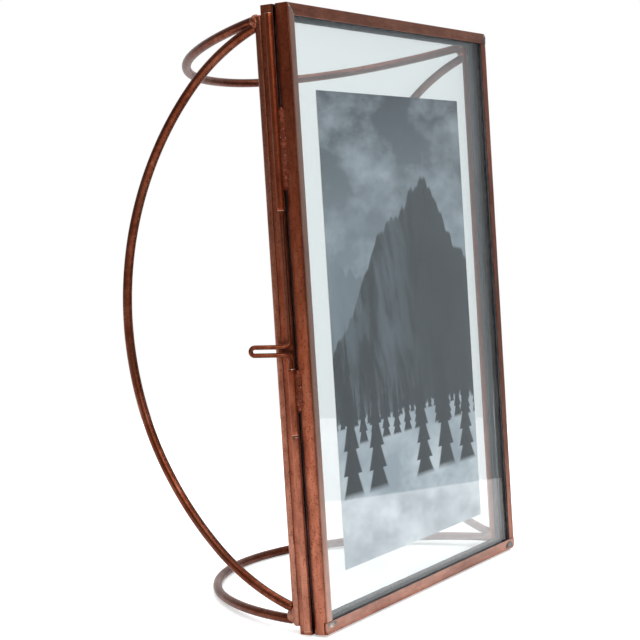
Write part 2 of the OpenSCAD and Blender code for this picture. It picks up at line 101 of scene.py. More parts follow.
class EndCut(Enum):
    """How the end of a folded strip meets its neighbour at a corner."""

    MITRED = "mitred"
    OVER = "square, with the lip over the neighbour"
    UNDER = "square, with the lip stopping at the neighbour's lip"


def srgb(red: int, green: int, blue: int) -> Colour:
    """Turns a screen colour into the linear colour that a shader takes.

    Args:
        red: Red, from 0 to 255.
        green: Green, from 0 to 255.
        blue: Blue, from 0 to 255.

    Returns:
        The linear colour with full alpha.
    """
    def linear(value: int) -> float:
        """Linear share of one channel."""
        share = value / 255
        return share / 12.92 if share <= 0.04045 else ((share + 0.055) / 1.055) ** 2.4

    return (linear(red), linear(green), linear(blue), 1.0)


def grey(level: float) -> Colour:
    """A neutral linear colour."""
    return (level, level, level, 1.0)


def wave(seed: float, *at: float) -> float:
    """Smooth noise from -1 to 1.

    Args:
        seed: Shifts the noise, so that pieces differ.
        at: Up to two coordinates, in wavelengths.

    Returns:
        The noise at that place.
    """
    place = [*at, 0.0, 0.0][:2]
    return noise.noise(Vector((place[0], place[1], seed * SEED_SPREAD)))


def swell(seed: float, *at: float) -> float:
    """The same smooth noise, from 0 to 1."""
    return 0.5 + 0.5 * wave(seed, *at)


@dataclass(frozen=True)
class Placement:
    """Where the leaning frame stands: from upright millimetres to the part's frame in metres."""

    lean: float
    shift: Vector

    @classmethod
    def from_frame(cls) -> "Placement":
        """Reads the lean from the hinge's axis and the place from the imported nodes.

        Returns:
            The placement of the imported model.
        """
        hinge = next(j for j in frame["joints"] if j["type"] == "hinge")
        lean = math.atan2(hinge["axis"][1], hinge["axis"][2])
        unleaned = cls(lean, Vector((0, 0, 0)))
        left, right = (unleaned.box(f"back_{side}_stile") for side in ("left", "right"))
        front = unleaned.box("front_left_stile")
        zero = Vector(((left[0].x + right[1].x) / 2, front[0].y, left[0].z))
        return cls(lean, unleaned.turn @ zero)

    @property
    def turn(self) -> Matrix:
        """The lean as a rotation."""
        return Matrix.Rotation(-self.lean, 3, "X")

    @property
    def matrix(self) -> Matrix:
        """Takes upright millimetres to metres in the part's frame."""
        return Matrix.Translation(self.shift * MM) @ self.turn.to_4x4() @ Matrix.Scale(MM, 4)

    def box(self, *nodes: str) -> tuple[Vector, Vector]:
        """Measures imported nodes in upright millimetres.

        Args:
            nodes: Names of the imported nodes.

        Returns:
            The lowest and highest corners of the box round them all.
        """
        back = self.turn.transposed()
        places = [
            back @ (vertex.co / MM - self.shift)
            for node in nodes
            for vertex in frame["nodes"][node].data.vertices
        ]
        low = Vector([min(place[axis] for place in places) for axis in range(3)])
        high = Vector([max(place[axis] for place in places) for axis in range(3)])
        return low, high


class Graph:
    """A node tree and short ways to fill it."""

    def __init__(self, tree: bpy.types.NodeTree) -> None:
        """Empties the tree."""
        self.tree = tree
        tree.nodes.clear()

    def add(
        self, kind: str, inputs: dict[str | int, object] | None = None, **settings: object,
    ) -> bpy.types.Node:
        """Adds a node.

        Args:
            kind: The node's type.
            inputs: A value or a socket for each named or numbered input.
            settings: Values for the node's own properties.

        Returns:
            The new node.
        """
        node = self.tree.nodes.new(kind)
        for key, value in settings.items():
            setattr(node, key, value)
        for key, value in (inputs or {}).items():
            self.feed(node.inputs[key], value)
        return node

    def feed(self, socket: Socket, value: object) -> None:
        """Links a socket to an input, or sets the input's own value.

        Args:
            socket: The input.
            value: A socket to link, or a plain value.
        """
        if isinstance(value, bpy.types.NodeSocket):
            self.tree.links.new(value, socket)
        else:
            socket.default_value = value

    def place(self, stretch: tuple[float, float, float] = (1.0, 1.0, 1.0)) -> Socket:
        """The place on the object, in metres.

        Args:
            stretch: Scale of each axis, below one where marks run long.

        Returns:
            The scaled place.
        """
        at = self.add("ShaderNodeTexCoord").outputs["Object"]
        return self.add("ShaderNodeVectorMath", {0: at, 1: stretch}, operation="MULTIPLY").outputs[0]

    def noise(self, at: Socket, scale: float, detail: float = 4.0, rough: float = 0.55) -> Socket:
        """Fractal noise from 0 to 1.

        Args:
            at: Where to read it.
            scale: Waves per unit of the place.
            detail: Octaves.
            rough: Strength of each finer octave.

        Returns:
            The noise's value.
        """
        inputs = {"Vector": at, "Scale": scale, "Detail": detail, "Roughness": rough}
        return self.add("ShaderNodeTexNoise", inputs).outputs[0]

    def ramp(self, value: Socket, stops: Sequence[tuple[float, Colour]]) -> Socket:
        """Turns a value into a colour.

        Args:
            value: The value, from 0 to 1.
            stops: Places and colours along the ramp.

        Returns:
            The colour.
        """
        node = self.add("ShaderNodeValToRGB", {0: value})
        elements = node.color_ramp.elements
        elements[0].position, elements[0].color = stops[0]
        elements[1].position, elements[1].color = stops[-1]
        for position, colour in stops[1:-1]:
            elements.new(position).color = colour
        return node.outputs[0]

    def mix(self, share: Socket | float, first: object, second: object) -> Socket:
        """Blends two colours.

        Args:
            share: Share of the second colour.
            first: The first colour.
            second: The second colour.

        Returns:
            The blended colour.
        """
        node = self.add("ShaderNodeMix", data_type="RGBA")
        for index, value in ((0, share), (6, first), (7, second)):
            self.feed(node.inputs[index], value)
        return node.outputs[2]

    def span(
        self, value: Socket, low: float, high: float, out_low: float = 0.0, out_high: float = 1.0,
    ) -> Socket:
        """Spreads a range of values over another range, and holds it at the ends.

        Args:
            value: The value to spread.
            low: Where the range starts.
            high: Where the range ends.
            out_low: The result at the start.
            out_high: The result at the end.

        Returns:
            The new value.
        """
        inputs = {0: value, 1: low, 2: high, 3: out_low, 4: out_high}
        return self.add("ShaderNodeMapRange", inputs).outputs[0]

    def maths(self, operation: str, first: object, second: object = 0.0) -> Socket:
        """One step of arithmetic on one or two values."""
        return self.add("ShaderNodeMath", {0: first, 1: second}, operation=operation).outputs[0]

    def plus(self, first: object, second: object) -> Socket:
        """The sum of two values."""
        return self.maths("ADD", first, second)

    def minus(self, first: object, second: object) -> Socket:
        """The difference of two values."""
        return self.maths("SUBTRACT", first, second)

    def times(self, first: object, second: object) -> Socket:
        """The product of two values."""
        return self.maths("MULTIPLY", first, second)

    def weigh(self, first: Socket, second: Socket, share: float) -> Socket:
        """The weighted mean of two values, by the share of the first."""
        return self.plus(self.times(first, share), self.times(second, 1 - share))

    def bump(self, height: Socket, depth_mm: float, strength: float = 1.0) -> Socket:
        """A normal that follows a height.

        Args:
            height: The height, from 0 to 1.
            depth_mm: Real height of one unit.
            strength: Strength of the effect.

        Returns:
            The normal.
        """
        inputs = {"Height": height, "Distance": depth_mm * MM, "Strength": strength}
        return self.add("ShaderNodeBump", inputs).outputs[0]

    def show(self, shader: Socket, kind: str = "ShaderNodeOutputMaterial") -> None:
        """Links a shader to the output."""
        self.add(kind, {"Surface": shader})


def new_material(name: str) -> tuple[Material, Graph]:
    """Makes an empty node material.

    Args:
        name: The material's name.

    Returns:
        The material and its graph.
    """
    material = bpy.data.materials.new(name)
    material.use_nodes = True
    return material, Graph(material.node_tree)


@dataclass(frozen=True)
class CopperFinish:
    """Aged copper: dark and light patches, fine mottles, pits, painted shade on folds, scuffed lips with
    painted highlight, and a painted reflection of the table low down.
    """

    name: str
    dark: Colour
    middle: Colour
    light: Colour
    rub_and_sheen: Colour
    patch_scale: float = 75.0
    patch_weight: float = 0.55
    mottle_scale: float = 420.0
    mottle_height: float = 0.6
    metal_stops: tuple[float, float, float] = (0.3, 0.5, 0.72)
    pit_scale: float = 1900.0
    pit_band: Band = (0.36, 0.42)
    pit_share: float = 0.6
    pit_depth_mm: float = 0.025
    speck_band: Band = (0.66, 0.72)
    speck_share: float = 0.0
    gloss_band: Band = (0.35, 0.65)
    smoothest: float = 0.24
    roughest: float = 0.42
    stretch: tuple[float, float, float] = (1.0, 1.0, 1.0)
    # Painted shade, reached below tone nought: on folds, in tube bores, on the legs facing the other frame
    # and behind the bolt's pull.
    painted_shade: Colour = srgb(38, 15, 8)
    painted_shade_band: Band = (0.35, 0.65)
    painted_shade_least: float = 0.7
    # The light scuffed colour on lips and rims is partly scuffs and partly painted highlight and reflection.
    rub_and_sheen_band: Band = (0.35, 0.62)
    rub_and_sheen_least: float = 0.55
    tin: Colour = srgb(206, 196, 188)
    patina: Colour = srgb(112, 72, 55)
    patina_share: float = 0.4
    cloud_band: Band = (0.48, 0.66)
    cloud_fineness: float = 0.7
    # Painted reflection of the white table: a lighter colour that grows towards the ground.
    table_reflection: Colour = srgb(206, 150, 128)
    table_reflection_share: float = 0.0
    table_reflection_band: Band = (0.4, 0.6)
    table_reflection_least: float = 0.6
    table_reflection_from: float = 0.085
    table_reflection_full: float = 0.015

    def build(self) -> Material:
        """Makes the material.

        Returns:
            The node material.
        """
        material, graph = new_material(self.name)
        at = graph.place(self.stretch)
        even = graph.place()
        patches = graph.noise(at, self.patch_scale, detail=5.0, rough=0.6)
        mottles = graph.noise(at, self.mottle_scale, detail=6.0, rough=0.65)
        pits = graph.noise(even, self.pit_scale, detail=3.0, rough=0.5)
        tone = graph.weigh(patches, mottles, self.patch_weight)
        metal = self.aged_metal(graph, even, tone)
        pitted = graph.mix(graph.span(pits, *self.pit_band, self.pit_share, 0.0), metal, self.dark)
        pitted = graph.mix(graph.span(pits, *self.speck_band, 0.0, self.speck_share), pitted, self.tin)
        shader = graph.add("ShaderNodeBsdfPrincipled", {
            "Base Color": self.handled(graph, pitted, tone, mottles),
            "Metallic": 1.0,
            "Roughness": graph.span(tone, *self.gloss_band, self.roughest, self.smoothest),
            "Normal": graph.bump(graph.weigh(mottles, pits, self.mottle_height), self.pit_depth_mm),
        })
        graph.show(shader.outputs[0])
        return material

    def aged_metal(self, graph: Graph, even: Socket, tone: Socket) -> Socket:
        """Colours the bare metal, with clouds of patina and a painted reflection of the table that grows
        towards the ground.

        Args:
            graph: The material's graph.
            even: The place on the object, not stretched.
            tone: The metal's patches and mottles, from 0 to 1.

        Returns:
            The metal's colour.
        """
        metal = graph.ramp(tone, list(zip(self.metal_stops, (self.dark, self.middle, self.light))))
        cloud = graph.noise(even, self.patch_scale * self.cloud_fineness, detail=3.0, rough=0.5)
        metal = graph.mix(graph.span(cloud, *self.cloud_band, 0.0, self.patina_share), metal, self.patina)
        height_at = graph.add("ShaderNodeSeparateXYZ", {0: even}).outputs[2]
        # Lighter towards the ground: painted reflection of the table.
        near_ground = graph.span(height_at, self.table_reflection_full, self.table_reflection_from, self.table_reflection_share, 0.0)
        reflected_table = graph.times(near_ground, graph.span(tone, *self.table_reflection_band, self.table_reflection_least))
        return graph.mix(reflected_table, metal, self.table_reflection)

    def handled(self, graph: Graph, metal: Socket, tone: Socket, mottles: Socket) -> Socket:
        """Adds what the mesh's tones ask for: scuffs with painted highlight above nought and painted shade
        below it.

        Args:
            graph: The material's graph.
            metal: The metal's colour.
            tone: The metal's patches and mottles, from 0 to 1.
            mottles: The fine mottles alone.

        Returns:
            The marked metal's colour.
        """
        marks = graph.add("ShaderNodeAttribute", attribute_name=TONE).outputs["Fac"]
        rub_and_sheen_level = graph.span(tone, *self.rub_and_sheen_band, self.rub_and_sheen_least)
        rub_and_sheen_level = graph.times(graph.span(marks, 0.0, 1.0), rub_and_sheen_level)
        painted_shade = graph.span(mottles, *self.painted_shade_band, 1.0, self.painted_shade_least)
        painted_shade = graph.times(graph.span(marks, -1.0, 0.0, 1.0, 0.0), painted_shade)
        return graph.mix(painted_shade, graph.mix(rub_and_sheen_level, metal, self.rub_and_sheen), self.painted_shade)


@dataclass(frozen=True)
class SolderFinish:
    """Tin solder that has gone dull in places and holds a little of the copper's colour."""

    name: str
    dull: Colour
    bright: Colour
    coppery: Colour
    grain_scale: float = 900.0
    cloud_fineness: float = 1 / 3
    tin_stops: Band = (0.38, 0.6)
    coppery_band: Band = (0.5, 0.68)
    coppery_share: float = 0.8
    gloss_band: Band = (0.35, 0.65)
    smoothest: float = 0.2
    roughest: float = 0.46
    grain_depth_mm: float = 0.04

    def build(self) -> Material:
        """Makes the material.

        Returns:
            The node material.
        """
        material, graph = new_material(self.name)
        at = graph.place()
        cloud = graph.noise(at, self.grain_scale * self.cloud_fineness, detail=5.0, rough=0.6)
        grain = graph.noise(at, self.grain_scale, detail=3.0, rough=0.5)
        tin = graph.ramp(cloud, list(zip(self.tin_stops, (self.dull, self.bright))))
        coppery = graph.span(grain, *self.coppery_band, 0.0, self.coppery_share)
        shader = graph.add("ShaderNodeBsdfPrincipled", {
            "Base Color": graph.mix(coppery, tin, self.coppery),
            "Metallic": 1.0,
            "Roughness": graph.span(cloud, *self.gloss_band, self.roughest, self.smoothest),
            "Normal": graph.bump(grain, self.grain_depth_mm),
        })
        graph.show(shader.outputs[0])
        return material


@dataclass(frozen=True)
class GlassFinish:
    """Clear pane glass with the faintest waves, which lets lamps through to what lies behind."""

    name: str
    tint: Colour
    haze: float
    cleanest: float = 0.7
    dust: Colour = srgb(222, 228, 230)
    index: float = 1.5
    wave_scale: float = 28.0
    wave_depth_mm: float = 0.01
    wave_strength: float = 0.3

    def build(self) -> Material:
        """Makes the material.

        Returns:
            The node material.
        """
        material, graph = new_material(self.name)
        waves = graph.noise(graph.place(), self.wave_scale, detail=1.0)
        pane = graph.add("ShaderNodeBsdfPrincipled", {
            "Base Color": self.tint,
            "Roughness": 0.0,
            "IOR": self.index,
            "Transmission Weight": 1.0,
            "Normal": graph.bump(waves, self.wave_depth_mm, self.wave_strength),
        })
        dust = graph.add("ShaderNodeBsdfDiffuse", {"Color": self.dust})
        thin = graph.span(waves, 0.3, 0.7, self.haze * self.cleanest, self.haze)
        dusty = graph.add("ShaderNodeMixShader", {0: thin, 1: pane.outputs[0], 2: dust.outputs[0]})
        clear = graph.add("ShaderNodeBsdfTransparent", {"Color": self.tint})
        path = graph.add("ShaderNodeLightPath")
        lit = graph.maths("MAXIMUM", path.outputs["Is Shadow Ray"], path.outputs["Is Diffuse Ray"])
        mixed = graph.add("ShaderNodeMixShader", {0: lit, 1: dusty.outputs[0], 2: clear.outputs[0]})
        graph.show(mixed.outputs[0])
        return material


@dataclass(frozen=True)
class PackingFinish:
    """Slate grey felt strip with a browner, paler edge where it has picked up dust."""

    name: str
    felt: Colour
    dusty: Colour
    fibre_scale: float = 1900.0
    fibre_share: float = 0.35
    fibre_depth_mm: float = 0.06
    dust_scale: float = 240.0
    dust_share: float = 0.7
    sheen: float = 0.3

    def build(self) -> Material:
        """Makes the material.

        Returns:
            The node material.
        """
        material, graph = new_material(self.name)
        at = graph.place()
        fibres = graph.noise(at, self.fibre_scale, detail=5.0, rough=0.7)
        dust = graph.noise(at, self.dust_scale, detail=3.0)
        colour = graph.mix(graph.span(dust, 0.35, 0.75, 0.0, self.dust_share), self.felt, self.dusty)
        shader = graph.add("ShaderNodeBsdfPrincipled", {
            "Base Color": graph.mix(graph.span(fibres, 0.3, 0.7, 0.0, self.fibre_share), colour, self.felt),
            "Roughness": graph.span(fibres, 0.3, 0.7, 0.75, 0.95),
            "Normal": graph.bump(fibres, self.fibre_depth_mm),
            "Sheen Weight": self.sheen,
        })
        graph.show(shader.outputs[0])
        return material


@dataclass(frozen=True)
class Ridge:
    """One line of hills across the landscape.

    Height, swing and the peak's place are shares of the print. The fall is the height lost per
    width away from the peak, and the lit colour is the gullies' on the light side.
    """

    height: float
    swing: float
    waves: float
    peak_at: float
    fall: float
    colour: Colour
    lit: Colour


@dataclass(frozen=True)
class FirRow:
    """One row of firs.

    The count is the places in the print's width, of which the thinned share stays empty. The foot
    and the tallest tree are shares of the print's height.
    """

    count: float
    foot: float
    tall: float
    thinned: float
    colour: Colour


@dataclass(frozen=True)
class LandscapeFinish:
    """A plain monochrome landscape: clouded sky, hills, a dark mountain, firs and a snowy field."""

    name: str = "printed_landscape"
    sky_high: Colour = srgb(46, 54, 62)
    sky_low: Colour = srgb(112, 122, 130)
    cloud: Colour = srgb(158, 168, 175)
    snow: Colour = srgb(196, 203, 208)
    drift: Colour = srgb(142, 152, 160)
    cloud_flatness: float = 2.6
    cloud_scale: float = 2.6
    cloud_share: float = 0.8
    bank_scale: float = 3.4
    shore_at: float = 0.35
    shore_swing: float = 0.1
    crest_blur: Band = (-0.003, 0.004)
    gully_scale: float = 11.0
    gully_slant: float = 0.35
    gully_run: float = 0.5
    fir_tiers: float = 7.0
    fir_half_w: float = 0.34
    fir_edge: Band = (-0.02, 0.03)
    seed: float = 3.7
    seed_step: float = 2.9
    paper_back: Colour = srgb(226, 226, 222)
    paper_stain: Colour = srgb(212, 206, 192)
    paper_fibre: Colour = srgb(214, 214, 210)

    def ridges(self) -> list[Ridge]:
        """The lines of hills from the farthest to the nearest.

        Returns:
            The ridges in that order.
        """
        return [
            Ridge(0.66, 0.10, 3.0, 0.0, 0.16, srgb(96, 106, 114), srgb(146, 156, 163)),
            Ridge(0.84, 0.09, 4.2, 0.6, 0.66, srgb(12, 17, 22), srgb(78, 88, 96)),
            Ridge(0.42, 0.07, 5.0, 1.0, 0.22, srgb(10, 14, 19), srgb(40, 48, 56)),
        ]

    def fir_rows(self) -> list[FirRow]:
        """The rows of firs from the farthest to the nearest.

        Returns:
            The rows in that order.
        """
        return [
            FirRow(23.0, 0.29, 0.12, 0.0, srgb(24, 30, 36)),
            FirRow(13.0, 0.25, 0.2, 0.25, srgb(18, 23, 28)),
            FirRow(6.0, 0.14, 0.4, 0.3, srgb(12, 16, 20)),
        ]

    def below_line(self, graph: Graph, across: Socket, up: Socket, ridge: Ridge, seed: float) -> Socket:
        """How far a place lies below a ridge's wavy crest.

        Args:
            graph: The print's graph.
            across: Share of the width.
            up: Share of the height.
            ridge: The ridge.
            seed: Shifts the crest's waves.

        Returns:
            The distance as a share of the height, below nought in the sky.
        """
        at = graph.add("ShaderNodeCombineXYZ", {"X": across, "Y": seed}).outputs[0]
        line = graph.noise(at, ridge.waves, detail=7.0)
        crest = graph.span(line, 0.25, 0.75, ridge.height - ridge.swing, ridge.height + ridge.swing)
        from_peak = graph.maths("ABSOLUTE", graph.minus(across, ridge.peak_at))
        crest = graph.minus(crest, graph.times(from_peak, ridge.fall))
        return graph.minus(crest, up)

    def slopes(self, graph: Graph, across: Socket, up: Socket, ridge: Ridge, seed: float) -> Socket:
        """Shades a ridge with gullies that run down from its crest, lighter on the left.

        Args:
            graph: The print's graph.
            across: Share of the width.
            up: Share of the height.
            ridge: The ridge.
            seed: Shifts the gullies.

        Returns:
            The ridge's colour.
        """
        from_peak = graph.minus(across, ridge.peak_at)
        slanted = graph.plus(across, graph.times(up, self.gully_slant))
        run = graph.times(up, self.gully_run)
        at = graph.add("ShaderNodeCombineXYZ", {"X": slanted, "Y": run, "Z": seed}).outputs[0]
        gullies = graph.noise(at, self.gully_scale, detail=8.0, rough=0.62)
        ragged = graph.plus(from_peak, graph.times(gullies, 0.5))
        light_side = graph.span(ragged, 0.1, 0.34, out_low=0.75, out_high=0.12)
        rocks = graph.times(graph.span(gullies, 0.42, 0.6), light_side)
        return graph.mix(rocks, ridge.colour, ridge.lit)

    def firs(self, graph: Graph, across: Socket, up: Socket, row: FirRow) -> Socket:
        """Marks a row of pointed trees with different heights.

        Args:
            graph: The print's graph.
            across: Share of the width.
            up: Share of the height.
            row: The row of firs.

        Returns:
            One inside a tree, nought outside.
        """
        moved = graph.plus(graph.times(across, row.count), row.count / 3)
        number = graph.maths("FLOOR", moved)
        inside = graph.minus(moved, number)
        from_trunk = graph.maths("ABSOLUTE", graph.minus(inside, 0.5))
        chance = graph.add("ShaderNodeTexWhiteNoise", {"W": number}, noise_dimensions="1D").outputs["Value"]
        height = graph.span(chance, row.thinned, 1.0, row.tall / 2, row.tall)
        climb = graph.maths("DIVIDE", graph.minus(up, row.foot), height)
        tiers = graph.maths("FRACT", graph.times(climb, self.fir_tiers))
        reach = graph.times(graph.minus(1.0, climb), self.fir_half_w)
        reach = graph.times(reach, graph.span(tiers, 0.0, 1.0, out_low=1.25, out_high=0.7))
        tree = graph.span(graph.minus(reach, from_trunk), *self.fir_edge)
        above_foot = graph.span(climb, 0.0, 0.04)
        planted = graph.span(chance, row.thinned, row.thinned + 0.01)
        return graph.times(tree, graph.times(above_foot, planted))

    def sky(self, graph: Graph, across: Socket, up: Socket) -> tuple[Socket, Socket]:
        """Paints the clouded sky.

        Args:
            graph: The print's graph.
            across: Share of the width.
            up: Share of the height.

        Returns:
            The sky's colour, and the flattened place that clouds and snow banks are read at.
        """
        flattened = graph.times(up, self.cloud_flatness)
        stretched = graph.add("ShaderNodeCombineXYZ", {"X": across, "Y": flattened}).outputs[0]
        clouds = graph.noise(stretched, self.cloud_scale, detail=7.0, rough=0.6)
        sky = graph.mix(graph.span(up, 0.6, 1.0), self.sky_low, self.sky_high)
        sky = graph.mix(graph.span(clouds, 0.45, 0.7, 0.0, self.cloud_share), sky, self.cloud)
        return sky, stretched

    def build(self) -> Material:
        """Makes the material of the printed side.

        Returns:
            The node material.
        """
        material, graph = new_material(self.name)
        uv = graph.add("ShaderNodeUVMap").outputs[0]
        parts = graph.add("ShaderNodeSeparateXYZ", {0: uv})
        across, up = parts.outputs[0], parts.outputs[1]
        picture, stretched = self.sky(graph, across, up)
        for number, ridge in enumerate(self.ridges()):
            seed = self.seed + self.seed_step * number
            below = self.below_line(graph, across, up, ridge, seed)
            shaded = self.slopes(graph, across, up, ridge, seed)
            picture = graph.mix(graph.span(below, *self.crest_blur), picture, shaded)
        banks = graph.noise(stretched, self.bank_scale, detail=6.0)
        field = graph.mix(graph.span(banks, 0.4, 0.62), self.drift, self.snow)
        field = graph.mix(graph.span(up, 0.12, 0.3, out_high=0.6), field, self.drift)
        shore = graph.plus(up, graph.times(banks, self.shore_swing))
        on_field = graph.span(shore, self.shore_at, self.shore_at + 0.01, 1.0, 0.0)
        picture = graph.mix(on_field, picture, field)
        for row in self.fir_rows():
            picture = graph.mix(self.firs(graph, across, up, row), picture, row.colour)
        fibres = graph.noise(uv, 420.0, detail=2.0)
        shader = graph.add("ShaderNodeBsdfPrincipled", {
            "Base Color": graph.mix(graph.span(fibres, 0.3, 0.7, 0.0, 0.06), picture, self.cloud),
            "Roughness": graph.span(fibres, 0.3, 0.7, 0.6, 0.75),
            "Specular IOR Level": 0.25,
            "Normal": graph.bump(fibres, 0.004),
        })
        graph.show(shader.outputs[0])
        return material

    def build_back(self) -> Material:
        """Makes the material of the unprinted side.

        Returns:
            The node material.
        """
        material, graph = new_material("print_paper")
        fibres = graph.noise(graph.place(), 1300.0, detail=6.0, rough=0.7)
        stains = graph.noise(graph.place(), 35.0, detail=2.0)
        aged = graph.mix(graph.span(stains, 0.4, 0.8, out_high=0.3), self.paper_back, self.paper_stain)
        shader = graph.add("ShaderNodeBsdfPrincipled", {
            "Base Color": graph.mix(graph.span(fibres, 0.3, 0.7, out_high=0.25), aged, self.paper_fibre),
            "Roughness": graph.span(fibres, 0.3, 0.7, 0.7, 0.9),
            "Normal": graph.bump(fibres, 0.02),
        })
        graph.show(shader.outputs[0])
        return material


class Finishes:
    """Every material of the object."""

    def __init__(self) -> None:
        """Builds them all."""
        # Light scuffed colour of the sheet's lips: scuffs and painted reflection.
        rub_and_sheen = srgb(204, 176, 164)
        self.upright_sheet = CopperFinish(
            "aged_copper_stile", srgb(80, 35, 22), srgb(147, 76, 51), srgb(194, 122, 93), rub_and_sheen,
            stretch=(1.0, 1.0, 0.28), patina_share=0.25, table_reflection_share=0.32,
        ).build()
        self.level_sheet = CopperFinish(
            "aged_copper_rail", srgb(88, 41, 27), srgb(154, 86, 60), srgb(204, 134, 104), rub_and_sheen,
            stretch=(0.28, 1.0, 1.0),
        ).build()
        # The tube's near-white scuffed colour is a painted highlight on its rims.
        self.tube = CopperFinish(
            "aged_copper_tube", srgb(78, 30, 16), srgb(138, 66, 40), srgb(176, 102, 70), srgb(244, 226, 212),
            patch_scale=120.0, stretch=(1.0, 1.0, 0.4), patina_share=0.2, table_reflection_share=0.5,
        ).build()
        self.wire = CopperFinish(
            "aged_copper_wire", srgb(60, 27, 17), srgb(104, 52, 34), srgb(142, 86, 66), srgb(176, 132, 116),
            patch_scale=60.0, mottle_scale=500.0, smoothest=0.28, roughest=0.4,
        ).build()
        self.rod = CopperFinish(
            "aged_copper_rod", srgb(84, 40, 27), srgb(142, 84, 64), srgb(184, 128, 108), srgb(196, 152, 136),
            mottle_scale=500.0, stretch=(1.0, 1.0, 0.4), table_reflection_share=0.6,
        ).build()
        # Dark grey for the channels' inner skins and the legs facing the other frame: painted shade.
        self.inside = CopperFinish(
            "copper_inside_painted_shade", srgb(56, 54, 56), srgb(86, 84, 87), srgb(114, 112, 116),
            srgb(112, 96, 90), smoothest=0.5, roughest=0.7, patina_share=0.0,
        ).build()
        self.solder = SolderFinish(
            "dull_solder", srgb(120, 116, 110), srgb(206, 202, 196), srgb(136, 112, 98)
        ).build()
        self.coated_solder = CopperFinish(
            "copper_coated_solder", srgb(52, 22, 14), srgb(104, 50, 34), srgb(146, 88, 68),
            srgb(170, 120, 100), patch_scale=300.0, mottle_scale=1100.0, pit_scale=2200.0,
            speck_share=0.5, smoothest=0.35, roughest=0.55, pit_depth_mm=0.05,
        ).build()
        self.tarnished_solder = SolderFinish(
            "tarnished_solder", srgb(78, 75, 72), srgb(122, 118, 113), srgb(108, 82, 70)
        ).build()
        pale_blue = (0.972, 0.992, 0.994, 1.0)
        self.front_glass = GlassFinish("clear_front_pane", pale_blue, haze=0.004).build()
        self.back_glass = GlassFinish("hazy_back_pane", pale_blue, haze=0.05).build()
        self.packing = PackingFinish("slate_packing", srgb(52, 55, 60), srgb(112, 98, 92)).build()
        self.landscape = LandscapeFinish().build()
        self.paper = LandscapeFinish().build_back()


def skin(
    rings: Sequence[Sequence[Vector]], tones: Sequence[float] | None = None, capped: bool = True,
) -> Mesh:
    """Joins rings of points into a closed skin.

    Args:
        rings: Rings with the same number of points.
        tones: Tone at each point of a ring, from -1 for painted shade to 1 for scuffs with painted
            highlight.
        capped: Whether the ends are closed, instead of joined to each other.

    Returns:
        The mesh, in upright millimetres.
    """
    mesh = bmesh.new()
    layer = mesh.verts.layers.float.new(TONE)
    rows = []
    for ring in rings:
        row = [mesh.verts.new(point) for point in ring]
        for vertex, tone in zip(row, tones or []):
            vertex[layer] = tone
        rows.append(row)
    count = len(rows[0])
    pairs = list(zip(rows, rows[1:]))
    if not capped:
        pairs.append((rows[-1], rows[0]))
    for first, second in pairs:
        for index in range(count):
            after = (index + 1) % count
            mesh.faces.new((first[index], first[after], second[after], second[index]))
    if capped:
        mesh.faces.new(list(reversed(rows[0])))
        mesh.faces.new(rows[-1])
    return mesh


def merge(meshes: Sequence[Mesh]) -> Mesh:
    """Puts several meshes into one.

    Args:
        meshes: The meshes, which are freed.

    Returns:
        The joined mesh.
    """
    whole = bmesh.new()
    for mesh in meshes:
        data = bpy.data.meshes.new("part")
        mesh.to_mesh(data)
        mesh.free()
        whole.from_mesh(data)
        bpy.data.meshes.remove(data)
    return whole


@dataclass(frozen=True)
class Workshop:
    """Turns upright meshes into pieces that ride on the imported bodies."""

    placement: Placement
    finishes: Finishes

    def add(
        self, name: str, mesh: Mesh, materials: Sequence[Material], body: Body, slot: Slot,
        nodes: Sequence[str],
    ) -> None:
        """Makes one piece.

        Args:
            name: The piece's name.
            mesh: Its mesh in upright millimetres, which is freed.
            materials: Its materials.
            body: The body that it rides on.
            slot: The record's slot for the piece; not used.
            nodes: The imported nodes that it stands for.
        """
        bmesh.ops.recalc_face_normals(mesh, faces=mesh.faces)
        data = bpy.data.meshes.new(name)
        mesh.to_mesh(data)
        mesh.free()
        data.transform(self.placement.matrix)
        data.polygons.foreach_set("use_smooth", [True] * len(data.polygons))
        data.set_sharp_from_angle(angle=SHARP_ANGLE)
        for material in materials:
            data.materials.append(material)
        piece = bpy.data.objects.new(name, data)
        bpy.context.scene.collection.objects.link(piece)
        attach(piece, body.value)
        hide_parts(*nodes)
        log.info("%s: %d faces on %s", name, len(data.polygons), body.value)

    def dress(self, node: str, material: Material) -> None:
        """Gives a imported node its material.

        Args:
            node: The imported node's name.
            material: Its finish.
        """
        data = frame["nodes"][node].data
        data.materials.clear()
        data.materials.append(material)
        log.info("%s: packed node with %s", node, material.name)


@dataclass(frozen=True)
class SectionPair:
    """One step round a channel's section: a point on the outer skin and one on the inner skin.

    In each point the first number is the distance in from the frame's edge, and the second the
    depth behind the channel's front face.
    """

    outer: Point
    inner: Point
    tone: float
    on_wall: bool
    in_front: bool


